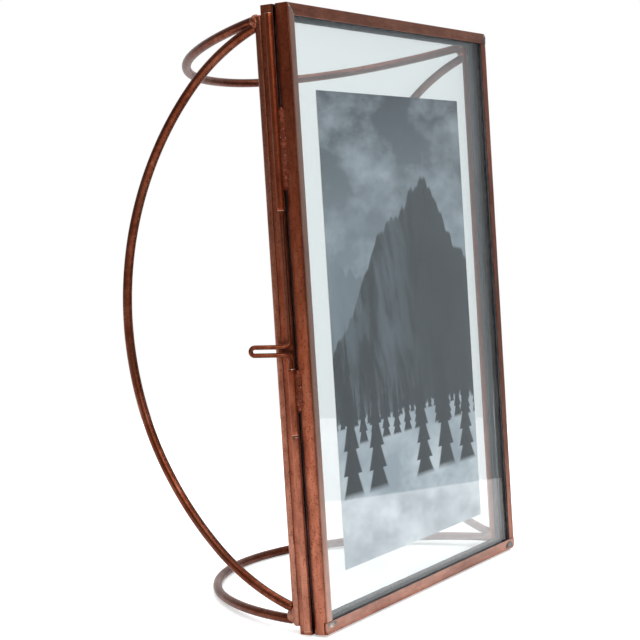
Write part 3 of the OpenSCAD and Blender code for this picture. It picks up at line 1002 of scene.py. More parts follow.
@dataclass(frozen=True)
class ChannelSection:
    """Section of a strip folded to a channel: front leg, wall and rear leg, open to the inside."""

    depth: float
    front_w: float
    rear_w: float
    sheet: float = 0.5
    fold_r: float = 0.36
    inner_r: float = 0.06
    fold_steps: int = 4
    notch: float = 0.95
    edge_round: float = 0.12
    lip_flat: float = 0.6

    def leg(self, width: float, at_rear: bool) -> list[SectionPair]:
        """Pairs along one leg from its free edge to the fold.

        Args:
            width: The leg's width.
            at_rear: Whether it is the rear leg.

        Returns:
            The pairs in that order.
        """
        ease, flat = self.edge_round, width - self.lip_flat
        # Lip tones: the free edge and the flat lip take the light scuffed colour, painted highlight and
        # reflection with scuffs.
        stops = [(width, ease, 1.0), (width - ease, 0.0, 1.0), (flat, 0.0, 0.85)]
        stops += [(self.fold_r + (flat - self.fold_r) * share, 0.0, 0.75) for share in (0.66, 0.33)]
        stops.append((self.fold_r, 0.0, 0.1))
        pairs = []
        for inward, trim, tone in stops:
            outer, inner = trim, self.sheet - trim
            if at_rear:
                outer, inner = self.depth - outer, self.depth - inner
            inside = (max(inward, self.sheet + self.inner_r), inner)
            pairs.append(SectionPair((inward, outer), inside, tone, False, not at_rear))
        return pairs

    def fold(self, at_rear: bool) -> list[SectionPair]:
        """Pairs round one fold, from the leg to the wall.

        Args:
            at_rear: Whether it is the rear fold.

        Returns:
            The pairs in that order.
        """
        centre = self.sheet + self.inner_r
        pairs = []
        for step in range(1, self.fold_steps):
            angle = math.pi / 2 * step / self.fold_steps
            across, along = math.sin(angle), math.cos(angle)
            outer = (self.fold_r * (1 - across), self.fold_r * (1 - along))
            inner = (centre - self.inner_r * across, centre - self.inner_r * along)
            if at_rear:
                outer = (outer[0], self.depth - outer[1])
                inner = (inner[0], self.depth - inner[1])
            # Folds take painted shade.
            pairs.append(SectionPair(outer, inner, -0.5, False, not at_rear))
        return pairs

    def wall(self) -> list[SectionPair]:
        """Pairs down the wall from the front fold to the rear fold, with a step at the notch.

        Returns:
            The pairs in that order.
        """
        gap = 0.01
        stops = [self.fold_r, self.notch - gap, self.notch + gap]
        stops += [self.fold_r + (self.depth - 2 * self.fold_r) * share for share in (0.3, 0.5, 0.7, 1.0)]
        pairs = []
        for stop in stops:
            # The wall's ends beside the folds take a little painted shade.
            tone = -0.3 if stop in (stops[0], stops[-1]) else 0.0
            inside = min(max(stop, self.sheet + self.inner_r), self.depth - self.sheet - self.inner_r)
            pairs.append(SectionPair((0.0, stop), (self.sheet, inside), tone, True, stop < self.notch))
        return pairs

    def pairs(self) -> list[SectionPair]:
        """All pairs from the front leg's free edge to the rear leg's free edge."""
        rear = self.leg(self.rear_w, True) + self.fold(True)
        return self.leg(self.front_w, False) + self.fold(False) + self.wall() + list(reversed(rear))


@dataclass(frozen=True)
class Strip:
    """One folded strip of a frame: a stile or a rail, with the hand's small waves in it."""

    section: ChannelSection
    is_stile: bool
    outer_at: float
    inward: float
    front_y: float
    low: float
    high: float
    low_cut: EndCut
    high_cut: EndCut
    hides_front: bool
    # Whether the leg facing the other frame takes the painted-shade material.
    shaded_seam: bool
    rub_and_sheen_level: float
    # Height of the painted shadow behind the bolt's pull, if the strip has one.
    pull_shadow_at: float | None
    seed: float
    stations: int = 110
    corner_r: float = 1.6
    butt_gap: float = 0.16
    dent: float = 0.06
    edge_wave: float = 0.09
    # Painted shade on the outer skin of the legs that face the other frame.
    seam_tone: float = -0.95
    # Depth and reach of the painted shadow behind the bolt's pull.
    pull_shadow: float = 0.8
    pull_shadow_reach: float = 1.7

    def cut_back(self, cut: EndCut, pair: SectionPair, inward: float) -> float:
        """How far one line of the strip ends short of the corner.

        Args:
            cut: The kind of end.
            pair: The step of the section that the line runs through.
            inward: The line's distance in from the frame's edge.

        Returns:
            The distance from the corner's outer edge.
        """
        lip_end = pair.in_front and not pair.on_wall
        if cut is EndCut.OVER and lip_end:
            past = max(0.0, self.corner_r - inward)
            return self.corner_r - math.sqrt(max(0.0, self.corner_r ** 2 - past ** 2))
        if cut is EndCut.UNDER and pair.in_front:
            return self.section.front_w + self.butt_gap
        if pair.on_wall:
            return 0.0 if self.is_stile else self.section.sheet
        return inward if self.is_stile else max(inward, self.section.sheet)

    def point(self, pair: SectionPair, spot: Point, share: float) -> Vector:
        """One point of the strip's skin.

        Args:
            pair: The step of the section.
            spot: The point of that step, on the outer or the inner skin.
            share: Share of the strip's length.

        Returns:
            The point in upright millimetres.
        """
        inward, depth = spot
        start = self.low + self.cut_back(self.low_cut, pair, inward)
        end = self.high - self.cut_back(self.high_cut, pair, inward)
        along = start + (end - start) * share
        dent = self.dent * swell(self.seed, along / 9, inward / 4 + depth / 3)
        if pair.on_wall:
            inward += dent
        else:
            width = self.section.front_w if pair.in_front else self.section.rear_w
            depth += dent if pair.in_front else -dent
            inward += self.edge_wave * wave(self.seed + 0.5, along / 5) * (inward / width) ** 2
        across = self.outer_at + self.inward * inward
        y = self.front_y + depth
        return Vector((across, y, along)) if self.is_stile else Vector((along, y, across))

    def faces_other(self, pair: SectionPair) -> bool:
        """Whether a line is on the leg that faces the other frame."""
        return pair.in_front == self.hides_front and not pair.on_wall

    def tone(self, pair: SectionPair) -> float:
        """How scuffed or shaded one line of the outer skin is: scuffs with painted highlight above nought,
        painted shade below it, darkest where the frames meet.

        Args:
            pair: The step of the section that the line runs through.

        Returns:
            The tone, from -1 for painted shade to 1 for scuffs with painted highlight.
        """
        if self.faces_other(pair):
            return self.seam_tone
        return pair.tone * self.rub_and_sheen_level if pair.tone > 0 else pair.tone

    def build(self) -> Mesh:
        """Makes the strip's mesh.

        Returns:
            The mesh in upright millimetres.
        """
        pairs = self.section.pairs()
        rings = []
        for station in range(self.stations + 1):
            share = station / self.stations
            outer = [self.point(pair, pair.outer, share) for pair in pairs]
            inner = [self.point(pair, pair.inner, share) for pair in reversed(pairs)]
            rings.append(outer + inner)
        mesh = skin(rings, [self.tone(pair) for pair in pairs] + [0.0] * len(pairs))
        self.paint_inside_shade(mesh, pairs)
        self.paint_pull_shadow(mesh)
        self.close_ends(mesh, len(pairs))
        return mesh

    def paint_inside_shade(self, mesh: Mesh, pairs: Sequence[SectionPair]) -> None:
        """Gives the inner skin, and the leg that faces the other frame at a shaded seam, the second
        material, a dark grey that is painted shade.

        Args:
            mesh: The strip's mesh.
            pairs: The steps of its section.
        """
        inside = [self.shaded_seam and self.faces_other(pair) for pair in pairs[:-1]]
        inside += [True] * (len(pairs) + 1)
        for index, face in enumerate(list(mesh.faces)[:self.stations * len(inside)]):
            face.material_index = int(inside[index % len(inside)])

    def paint_pull_shadow(self, mesh: Mesh) -> None:
        """Paints the shadow of the bolt's pull on the strip, as darker tone round the pull's height, where
        the strip has one.

        Args:
            mesh: The strip's mesh.
        """
        if self.pull_shadow_at is None:
            return
        marks = mesh.verts.layers.float[TONE]
        for vertex in mesh.verts:
            away = (vertex.co.z - self.pull_shadow_at) / self.pull_shadow_reach
            vertex[marks] -= self.pull_shadow * math.exp(-away ** 2)

    def close_ends(self, mesh: Mesh, count: int) -> None:
        """Splits each end cap into quads between the outer and the inner skin.

        Args:
            mesh: The strip's mesh.
            count: Steps of the section.
        """
        for cap in [face for face in mesh.faces if len(face.verts) == 2 * count]:
            corners = list(cap.verts)
            mesh.faces.remove(cap)
            across = list(reversed(corners))
            for index in range(count - 1):
                mesh.faces.new((corners[index], corners[index + 1], across[index + 1], across[index]))


@dataclass(frozen=True)
class GlazedFrame:
    """Four folded strips round a pane, as the door or as the back frame."""

    shop: Workshop
    name: str
    body: Body
    section: ChannelSection
    butted: bool
    rub_and_sheen_level: tuple[float, float, float, float]
    seed: float

    def build(self) -> None:
        """Makes the four strips, and dresses the pane and its packing."""
        finishes = self.shop.finishes
        at_back = self.body is Body.BACK
        parts = ("left_stile", "right_stile", "top_rail", "bottom_rail")
        low, high = self.shop.placement.box(*(f"{self.name}_{part}" for part in parts))
        under = EndCut.UNDER if self.butted else EndCut.MITRED
        over = EndCut.OVER if self.butted else EndCut.MITRED
        plans = {
            "left_stile": (True, low.x, 1.0, low.z, high.z, under, EndCut.MITRED),
            "right_stile": (True, high.x, -1.0, low.z, high.z, under, under),
            "top_rail": (False, high.z, -1.0, low.x, high.x, EndCut.MITRED, over),
            "bottom_rail": (False, low.z, 1.0, low.x, high.x, over, over),
        }
        for number, (part, plan) in enumerate(plans.items()):
            is_stile, outer_at, inward, start, end, low_cut, high_cut = plan
            by_latch = part == "left_stile"
            strip = Strip(
                section=self.section, is_stile=is_stile, outer_at=outer_at, inward=inward, front_y=low.y,
                low=start, high=end, low_cut=low_cut, high_cut=high_cut, hides_front=at_back,
                shaded_seam=not by_latch, rub_and_sheen_level=self.rub_and_sheen_level[number],
                # The back frame's left stile takes a painted shadow behind the bolt's pull.
                pull_shadow_at=PULL_Z if by_latch and at_back else None, seed=self.seed + number,
            )
            name = f"{self.name}_{part}"
            sheet = finishes.upright_sheet if is_stile else finishes.level_sheet
            # The second material is the painted shade inside the channel.
            materials = [sheet, finishes.inside]
            self.shop.add(f"{name}_folded", strip.build(), materials, self.body, Slot.SHEET, [name])
        self.shop.dress(f"{self.name}_glass", finishes.back_glass if at_back else finishes.front_glass)
        self.shop.dress(f"{self.name}_packing", finishes.packing)


@dataclass(frozen=True)
class FloatingPrint:
    """The print between the panes: a thin sheet with its picture on the front."""

    shop: Workshop
    columns: int = 20
    rows: int = 30
    ripple: float = 0.015

    def grid(self, mesh: Mesh, depth_share: float, shares: dict[Vertex, Point]) -> list[list[Vertex]]:
        """Lays the faintly rippled points of one face of the sheet.

        Args:
            mesh: The sheet's mesh, which the points are added to.
            depth_share: Nought for the front, one for the back.
            shares: Takes each point's share of the width and of the height.

        Returns:
            The points by row, from below.
        """
        low, high = self.shop.placement.box("photo_print")
        grid = []
        for row in range(self.rows + 1):
            line = []
            for column in range(self.columns + 1):
                across, up = column / self.columns, row / self.rows
                ripple = self.ripple * swell(4.0, across * 2, up * 3)
                depth = low.y + (high.y - low.y) * depth_share + ripple * (1 - 2 * depth_share)
                x = low.x + (high.x - low.x) * across
                vertex = mesh.verts.new((x, depth, low.z + (high.z - low.z) * up))
                shares[vertex] = (across, up)
                line.append(vertex)
            grid.append(line)
        return grid

    def build(self) -> None:
        """Makes the sheet with a map of its width and height for the picture."""
        mesh = bmesh.new()
        chart = mesh.loops.layers.uv.new("UVMap")
        shares: dict[Vertex, Point] = {}
        grids = [self.grid(mesh, depth_share, shares) for depth_share in (0.0, 1.0)]
        for number, grid in enumerate(grids):
            for lower, upper in zip(grid, grid[1:]):
                for corners in zip(lower, lower[1:], upper[1:], upper):
                    mesh.faces.new(corners).material_index = number
        for front, back in zip(self.edges(grids[0]), self.edges(grids[1])):
            for corners in zip(front, front[1:], back[1:], back):
                mesh.faces.new(corners).material_index = 1
        for face in mesh.faces:
            for loop in face.loops:
                loop[chart].uv = shares[loop.vert]
        materials = [self.shop.finishes.landscape, self.shop.finishes.paper]
        self.shop.add("landscape_print", mesh, materials, Body.BACK, Slot.PAPER, ["photo_print"])

    @staticmethod
    def edges(grid: list[list[Vertex]]) -> list[list[Vertex]]:
        """The four edges of a grid of points."""
        return [grid[0], grid[-1], [line[0] for line in grid], [line[-1] for line in grid]]


def turned(
    centre: Point, outline: Sequence[Point], tones: Sequence[float], sides: int, seed: float,
    lump: float = 0.0,
) -> Mesh:
    """Turns a closed outline round an upright axis, as on a lathe.

    Args:
        centre: The axis, across and in depth.
        outline: Radii and heights, in order round the section.
        tones: Tone at each point of the outline.
        sides: Faces in a full turn.
        seed: Shifts the unevenness.
        lump: Greatest unevenness of the radius.

    Returns:
        The mesh in upright millimetres.
    """
    rings = []
    for side in range(sides):
        angle = 2 * math.pi * side / sides
        out_x, out_y = math.cos(angle), math.sin(angle)
        ring = []
        for radius, height in outline:
            uneven = radius + lump * wave(seed, out_x * 1.5 + height / 3, out_y * 1.5)
            ring.append(Vector((centre[0] + uneven * out_x, centre[1] + uneven * out_y, height)))
        rings.append(ring)
    return skin(rings, tones, capped=False)


@dataclass(frozen=True)
class TubeRow:
    """The short tubes of the latch and the hinge, and the hinge's pin."""

    shop: Workshop
    bore_r: float = 0.78
    rim: float = 0.14
    rim_slope: float = 0.3
    sides: int = 48
    step: float = 1.2
    uneven: float = 0.014
    pin_head_h: float = 0.5

    def tube(self, node: str, body: Body, seed: float) -> None:
        """Makes one tube with eased rims.

        Args:
            node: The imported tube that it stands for.
            body: The body that it rides on.
            seed: Shifts its unevenness.
        """
        low, high = self.shop.placement.box(node)
        outer_r = (high.x - low.x) / 2
        centre = ((low.x + high.x) / 2, (low.y + high.y) / 2)
        first, last = low.z + self.rim, high.z - self.rim
        count = max(2, round((last - first) / self.step))
        heights = [first + (last - first) * k / count for k in range(count + 1)]
        slope = self.rim * self.rim_slope
        outline = [(outer_r - self.rim, low.z), (outer_r - slope, low.z + slope)]
        outline += [(outer_r - self.uneven, height) for height in heights]
        outline += [(outer_r - slope, high.z - slope), (outer_r - self.rim, high.z)]
        outline += [(self.bore_r + slope, high.z), (self.bore_r, last), (self.bore_r, first)]
        outline.append((self.bore_r + slope, low.z))
        # Rims take the light scuffed colour as a painted highlight; the bore takes painted shade.
        tones = [1.0, 1.0] + [0.0] * len(heights) + [1.0, 1.0, 1.0, -1.0, -1.0, 1.0]
        mesh = turned(centre, outline, tones, self.sides, seed, self.uneven)
        self.shop.add(f"{node}_turned", mesh, [self.shop.finishes.tube], body, Slot.TUBE, [node])

    def pin(self) -> None:
        """Makes the hinge's pin with a domed head hammered at each end."""
        low, high = self.shop.placement.box("hinge_pin")
        centre = ((low.x + high.x) / 2, (low.y + high.y) / 2)
        head_r, head_h = (high.x - low.x) / 2, self.pin_head_h
        dome = [(0.02, 0.0), (head_r * 0.55, 0.04), (head_r * 0.85, 0.14), (head_r, 0.3)]
        dome.append((head_r * 0.96, head_h))
        outline = [(radius, low.z + height) for radius, height in dome]
        outline += [(THIN_WIRE_R, low.z + head_h), (THIN_WIRE_R, high.z - head_h)]
        outline += [(radius, high.z - height) for radius, height in reversed(dome)]
        mesh = turned(centre, outline, [0.2] * len(outline), self.sides, 9.0)
        materials = [self.shop.finishes.wire]
        self.shop.add("hinge_pin_hammered", mesh, materials, Body.BACK, Slot.WIRE, ["hinge_pin"])

    def build(self) -> None:
        """Makes every tube and the pin."""
        bodies = {
            "latch_upper_tube": Body.DOOR,
            "latch_lower_tube": Body.DOOR,
            "latch_keeper_tube": Body.BACK,
            "hinge_upper_tube": Body.BACK,
            "hinge_middle_tube": Body.DOOR,
            "hinge_lower_tube": Body.BACK,
        }
        for number, (node, body) in enumerate(bodies.items()):
            self.tube(node, body, 11.0 + number)
        self.pin()


@dataclass(frozen=True)
class DrawnWire:
    """A round wire with rounded ends and a faintly uneven skin."""

    radius: float
    seed: float
    sides: int = 28
    uneven: float = 0.03
    rounding_share: float = 0.6
    end_steps: int = 5
    first_step: float = 0.4

    @property
    def rounding(self) -> float:
        """Radius of the ends' rounding."""
        return self.radius * self.rounding_share

    def end(self, tip: Vector, before: Vector) -> list[tuple[Vector, float]]:
        """Rounds off one end.

        Args:
            tip: The end of the centre line.
            before: The point next to it.

        Returns:
            Places on the centre line and the radius at each, from the tip inwards.
        """
        ahead = (tip - before).normalized()
        stops = []
        for step in range(self.end_steps):
            angle = math.pi / 2 * (step + self.first_step) / self.end_steps
            place = tip + ahead * self.rounding * (math.cos(angle) - 1)
            stops.append((place, self.radius - self.rounding + self.rounding * math.sin(angle)))
        return stops

    def stops(self, path: Sequence[Vector]) -> list[tuple[Vector, float]]:
        """Places along the whole wire and the radius at each.

        Args:
            path: The points of its centre line.

        Returns:
            The places with their radii, from end to end.
        """
        reach = [0.0]
        for before, after in zip(path, path[1:]):
            reach.append(reach[-1] + (after - before).length)
        last = reach[-1] - self.rounding
        middle = [(point, self.radius) for point, at in zip(path, reach) if self.rounding < at < last]
        return self.end(path[0], path[1]) + middle + self.end(path[-1], path[-2])[::-1]

    def along(self, path: Sequence[Vector]) -> Mesh:
        """Makes the wire.

        Args:
            path: The points of its centre line.

        Returns:
            The mesh in upright millimetres.
        """
        stops = self.stops(path)
        places = [place for place, _ in stops]
        tangents = [
            (after - before).normalized()
            for before, after in zip(places[:1] + places[:-1], places[1:] + places[-1:])
        ]
        side = tangents[0].orthogonal().normalized()
        rings = []
        for number, ((place, radius), tangent) in enumerate(zip(stops, tangents)):
            side = (side - tangent * side.dot(tangent)).normalized()
            other = tangent.cross(side)
            ring = []
            for step in range(self.sides):
                angle = 2 * math.pi * step / self.sides
                out = side * math.cos(angle) + other * math.sin(angle)
                dip = self.uneven * swell(self.seed, number / 4, math.cos(angle) + angle / 5)
                ring.append(place + out * (radius - dip))
            rings.append(ring)
        return skin(rings)


@dataclass(frozen=True)
class LatchWire:
    """The bolt: two upright legs in line, with a flat hairpin bent out between them as the pull."""

    shop: Workshop
    pull_len: float = 10.67
    pull_half_h: float = 1.22
    bend_r: float = 2.2
    back_deg: float = 52.0
    tilt_deg: float = 3.0
    bend_steps: int = 12
    leg_step: float = 1.5

    def arc(self, centre: Point, radius: float, start_deg: float, turn_deg: float) -> list[Point]:
        """Points along an arc in the pull's plane.

        Args:
            centre: Its centre, outwards and up.
            radius: Its radius.
            start_deg: Where it starts.
            turn_deg: How far it turns.

        Returns:
            The points in order.
        """
        shares = [k / self.bend_steps for k in range(self.bend_steps + 1)]
        angles = [math.radians(start_deg + turn_deg * share) for share in shares]
        return [(centre[0] + radius * math.cos(a), centre[1] + radius * math.sin(a)) for a in angles]

    def path(self) -> list[Vector]:
        """The wire's centre line from its upper end to its tip, in upright millimetres.

        Returns:
            The points in that order.
        """
        low, high = self.shop.placement.box("latch_wire")
        tube_low, tube_high = self.shop.placement.box("latch_upper_tube")
        axis = Vector(((tube_low.x + tube_high.x) / 2, (tube_low.y + tube_high.y) / 2, 0))
        tilt = math.radians(self.tilt_deg)
        upper = PULL_Z + (self.pull_half_h + self.bend_r * (1 + math.sin(tilt))) / math.cos(tilt)
        lower = PULL_Z - (self.pull_half_h + self.bend_r * (1 - math.sin(tilt))) / math.cos(tilt)
        turn_at = (self.pull_len * math.cos(tilt), PULL_Z + self.pull_len * math.sin(tilt))
        top_count = int((high.z - upper) / self.leg_step)
        flat = [(0.0, high.z - (high.z - upper) * k / top_count) for k in range(top_count)]
        flat += self.arc((self.bend_r, upper), self.bend_r, 180, 90 + self.tilt_deg)
        flat += self.arc(turn_at, self.pull_half_h, 90 + self.tilt_deg, -180)
        flat += self.arc((self.bend_r, lower), self.bend_r, 90 + self.tilt_deg, 90 - self.tilt_deg)
        tip_count = int((lower - low.z) / self.leg_step)
        flat += [(0.0, lower - (lower - low.z) * (k + 1) / tip_count) for k in range(tip_count)]
        away = math.radians(180 - self.back_deg)
        return [axis + Vector((out * math.cos(away), out * math.sin(away), up)) for out, up in flat]

    def build(self) -> None:
        """Makes the bolt."""
        mesh = DrawnWire(THIN_WIRE_R, 17.0, sides=32, uneven=0.012).along(self.path())
        materials = [self.shop.finishes.wire]
        self.shop.add("latch_wire_bent", mesh, materials, Body.LATCH, Slot.WIRE, ["latch_wire"])


@dataclass(frozen=True)
class WireCage:
    """Two upright rods and four bows of thick wire behind the back frame."""

    shop: Workshop
    wire_r: float = 1.5
    side_depth: float = 56.0
    mid_deg: float = 45.0
    end_deg: float = 70.2
    splay_deg: float = 1.2
    top_depth: float = 60.6
    bottom_depth: float = 61.3
    top_droop_deg: float = 9.6
    bottom_rise_deg: float = 2.0
    arc_steps: int = 120
    rod_steps: int = 90
    end_trim: float = 1.0
    hand: float = 0.12

    def rod_axis(self, side: str) -> Vector:
        """Foot of a rod's axis, in upright millimetres."""
        low, high = self.shop.placement.box(f"{side}_rod")
        return Vector(((low.x + high.x) / 2, (low.y + high.y) / 2, low.z))

    def top(self) -> float:
        """Height of the back frame's top."""
        return self.shop.placement.box("back_left_stile")[1].z

    def shaken(self, path: Sequence[Vector], seed: float) -> list[Vector]:
        """Gives a path the small unevenness of a hand-bent wire, none at its ends and never backwards.

        Args:
            path: The even path.
            seed: Shifts the unevenness.

        Returns:
            The uneven path.
        """
        moved = []
        for number, point in enumerate(path):
            share = number / (len(path) - 1)
            free = self.hand * math.sin(math.pi * share) ** 0.5
            shift = Vector([wave(seed + axis, share * 6) for axis in range(3)])
            shift.y = -abs(shift.y)
            moved.append(point + shift * free)
        return moved

    def side_path(self, side: str) -> list[Vector]:
        """Centre line of a side bow: a wide middle arc with a tighter arc at each end.

        Args:
            side: Left or right.

        Returns:
            The points from the upper end to the lower end.
        """
        low_z, top_z = SIDE_BOW_FOOT[side], self.top() - SIDE_BOW_DROP[side]
        half = (top_z - low_z) / 2
        mid, end = math.radians(self.mid_deg), math.radians(self.end_deg)
        mid_wide, mid_deep = math.sin(mid), 1 - math.cos(mid)
        end_wide, end_deep = math.sin(end) - mid_wide, math.cos(mid) - math.cos(end)
        share = mid_wide * end_deep - mid_deep * end_wide
        mid_r = (half * end_deep - self.side_depth * end_wide) / share
        end_r = (mid_wide * self.side_depth - mid_deep * half) / share
        axis = self.rod_axis(side)
        outward = math.copysign(math.sin(math.radians(self.splay_deg)), axis.x)
        backward = math.cos(math.radians(self.splay_deg))
        path = []
        for step in range(self.arc_steps + 1):
            angle = end * (1 - 2 * step / self.arc_steps)
            radius, up_at, deep_at = mid_r, 0.0, self.side_depth - mid_r
            if abs(angle) > mid:
                radius = end_r
                up_at = math.copysign((mid_r - end_r) * mid_wide, angle)
                deep_at += (mid_r - end_r) * math.cos(mid)
            deep = deep_at + radius * math.cos(angle)
            z = (low_z + top_z) / 2 + up_at + radius * math.sin(angle)
            path.append(Vector((axis.x + outward * deep, axis.y + backward * deep, z)))
        return path

    def level_path(self, z: float, depth: float, tilt_deg: float) -> list[Vector]:
        """Centre line of the top or bottom bow.

        Args:
            z: Height of its ends.
            depth: Depth of its crown.
            tilt_deg: How far it rises towards the rear.

        Returns:
            The points from left to right.
        """
        left, right = self.rod_axis("left"), self.rod_axis("right")
        half = (right.x - left.x) / 2
        radius = (half * half + depth * depth) / (2 * depth)
        reach = math.acos((radius - depth) / radius)
        tilt = math.radians(tilt_deg)
        path = []
        for step in range(self.arc_steps + 1):
            angle = reach * (2 * step / self.arc_steps - 1)
            deep = depth - radius + radius * math.cos(angle)
            y = left.y + deep * math.cos(tilt)
            path.append(Vector((radius * math.sin(angle), y, z + deep * math.sin(tilt))))
        return path

    def bow(self, node: str, path: Sequence[Vector], seed: float) -> None:
        """Makes one bow, with its ends cut back to the skin of the rods.

        Args:
            node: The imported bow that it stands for.
            path: Its centre line.
            seed: Shifts its unevenness.
        """
        kept = [p for p in path if min((p - path[0]).length, (p - path[-1]).length) >= self.end_trim]
        mesh = DrawnWire(self.wire_r, seed).along(self.shaken(kept, seed))
        self.shop.add(f"{node}_bent", mesh, [self.shop.finishes.wire], Body.BACK, Slot.WIRE, [node])

    def build(self) -> None:
        """Makes the rods and the bows."""
        for number, side in enumerate(("left", "right")):
            node = f"{side}_rod"
            foot = self.rod_axis(side)
            rise = Vector((0, 0, self.shop.placement.box(node)[1].z - foot.z))
            straight = [foot + rise * k / self.rod_steps for k in range(self.rod_steps + 1)]
            mesh = DrawnWire(self.wire_r, 31.0 + number).along(straight)
            self.shop.add(f"{node}_drawn", mesh, [self.shop.finishes.rod], Body.BACK, Slot.WIRE, [node])
            self.bow(f"{side}_bow", self.side_path(side), 41.0 + number * 5)
        top = self.top() - LEVEL_BOW_DROP
        self.bow("top_bow", self.level_path(top, self.top_depth, -self.top_droop_deg), 53.0)
        bottom = self.level_path(LEVEL_BOW_FOOT, self.bottom_depth, self.bottom_rise_deg)
        self.bow("bottom_bow", bottom, 59.0)


@dataclass(frozen=True)
class SolderRun:
    """One lumpy run of solder up the corner between a face and a round bar, thin at both ends.

    The plan gives foot, crevice, contact and inside for a share of the full reach: where the solder
    starts on the face, the bottom of the corner, where it ends on the bar, and a point hidden in it.
    """

    plan: Plan
    low_z: float
    high_z: float
    seed: float
    ring_step: float = 0.28
    fewest_rings: int = 8
    curve_steps: int = 7
    end_len: float = 1.4
    least_reach: float = 0.12
    usual_reach: float = 0.8
    reach_swing: float = 0.14
    lump_len: float = 1.6
    usual_fullness: float = 0.35
    fullness_swing: float = 0.25
    fullness_len: float = 2.3

    def ring(self, z: float, reach: float, fullness: float) -> list[Vector]:
        """One section across the run.

        Args:
            z: Height of the section.
            reach: Share of the full reach.
            fullness: How far its skin stands out of the corner, from 0 hollow to 1 flat.

        Returns:
            The closed ring of points.
        """
        foot, crevice, contact, inside = self.plan(reach)
        control = crevice.lerp((foot + contact) / 2, fullness)
        points = []
        for step in range(self.curve_steps + 1):
            t = step / self.curve_steps
            points.append(foot * (1 - t) ** 2 + control * 2 * t * (1 - t) + contact * t * t)
        return [Vector((point.x, point.y, z)) for point in (*points, inside, crevice)]

    def taper(self, share: float) -> float:
        """What is left of the reach at a share of the run's length.

        Args:
            share: Share of the length.

        Returns:
            One along the middle, less towards the ends.
        """
        length = self.high_z - self.low_z
        to_end = min(share, 1 - share)
        if to_end * length >= self.end_len:
            return 1.0
        return min(1.0, math.sin(math.pi * to_end * min(length, 8) / 4 + 0.05) * 1.6)

    def build(self) -> Mesh:
        """Makes the run.

        Returns:
            The mesh in upright millimetres.
        """
        length = self.high_z - self.low_z
        count = max(self.fewest_rings, round(length / self.ring_step))
        rings = []
        for number in range(count + 1):
            share = number / count
            z = self.low_z + length * share
            lumps = self.usual_reach + self.reach_swing * wave(self.seed, z / self.lump_len)
            swing = self.fullness_swing * wave(self.seed + 3, z / self.fullness_len)
            reach = max(self.least_reach, self.taper(share) * lumps)
            rings.append(self.ring(z, reach, self.usual_fullness + swing))
        return skin(rings)


def solder_drop(centre: Vector, half: Vector, seed: float, lump: float = 0.14, detail: int = 4) -> Mesh:
    """Makes one uneven drop of solder.

    Args:
        centre: Its middle.
        half: Its half sizes.
        seed: Shifts its lumps.
        lump: Share of its size that it is uneven by.
        detail: Subdivisions of its skin.

    Returns:
        The mesh in upright millimetres.
    """
    mesh = bmesh.new()
    bmesh.ops.create_icosphere(mesh, subdivisions=detail, radius=1.0)
    for vertex in mesh.verts:
        uneven = 1 + lump * noise.noise(vertex.co * 1.3 + Vector((seed, seed * 2, 0)))
        uneven += lump * 0.4 * noise.noise(vertex.co * 3.1 + Vector((0, seed, seed)))
        vertex.co = centre + Vector(vertex.co[axis] * half[axis] * uneven for axis in range(3))
    return mesh


@dataclass(frozen=True)
class Bar:
    """A tube or rod that solder runs up, with its packed box."""

    low: Vector
    high: Vector
    hidden_share: float = 0.6

    @property
    def radius(self) -> float:
        """Its radius."""
        return (self.high.x - self.low.x) / 2

    @property
    def axis(self) -> Vector:
        """Its axis in plan."""
        return Vector(((self.low.x + self.high.x) / 2, (self.low.y + self.high.y) / 2))

    def touch(self, side: float, arc_deg: Band, share: float) -> tuple[Vector, Vector]:
        """Where a run of solder ends on the bar.

        Args:
            side: Minus one where it lies to the left of the bar, one to the right.
            arc_deg: Where the contact starts round the bar, and how far it moves at full reach.
            share: Share of the full reach.

        Returns:
            The contact on the bar's skin and a point hidden inside the bar, in plan.
        """
        angle = math.radians(arc_deg[0] + arc_deg[1] * share)
        out = Vector((side * math.cos(angle), math.sin(angle)))
        return self.axis + out * self.radius, self.axis + out * self.radius * self.hidden_share


@dataclass(frozen=True)
class Dab:
    """A flat dab of solder on the door's front.

    The side is minus one for the left and one for the right. The middle lies inward from that side
    of the door and sunk behind its front face.
    """

    side: float
    inward: float
    sunk: float
    z: float
    half: tuple[float, float, float]
    tarnished: bool


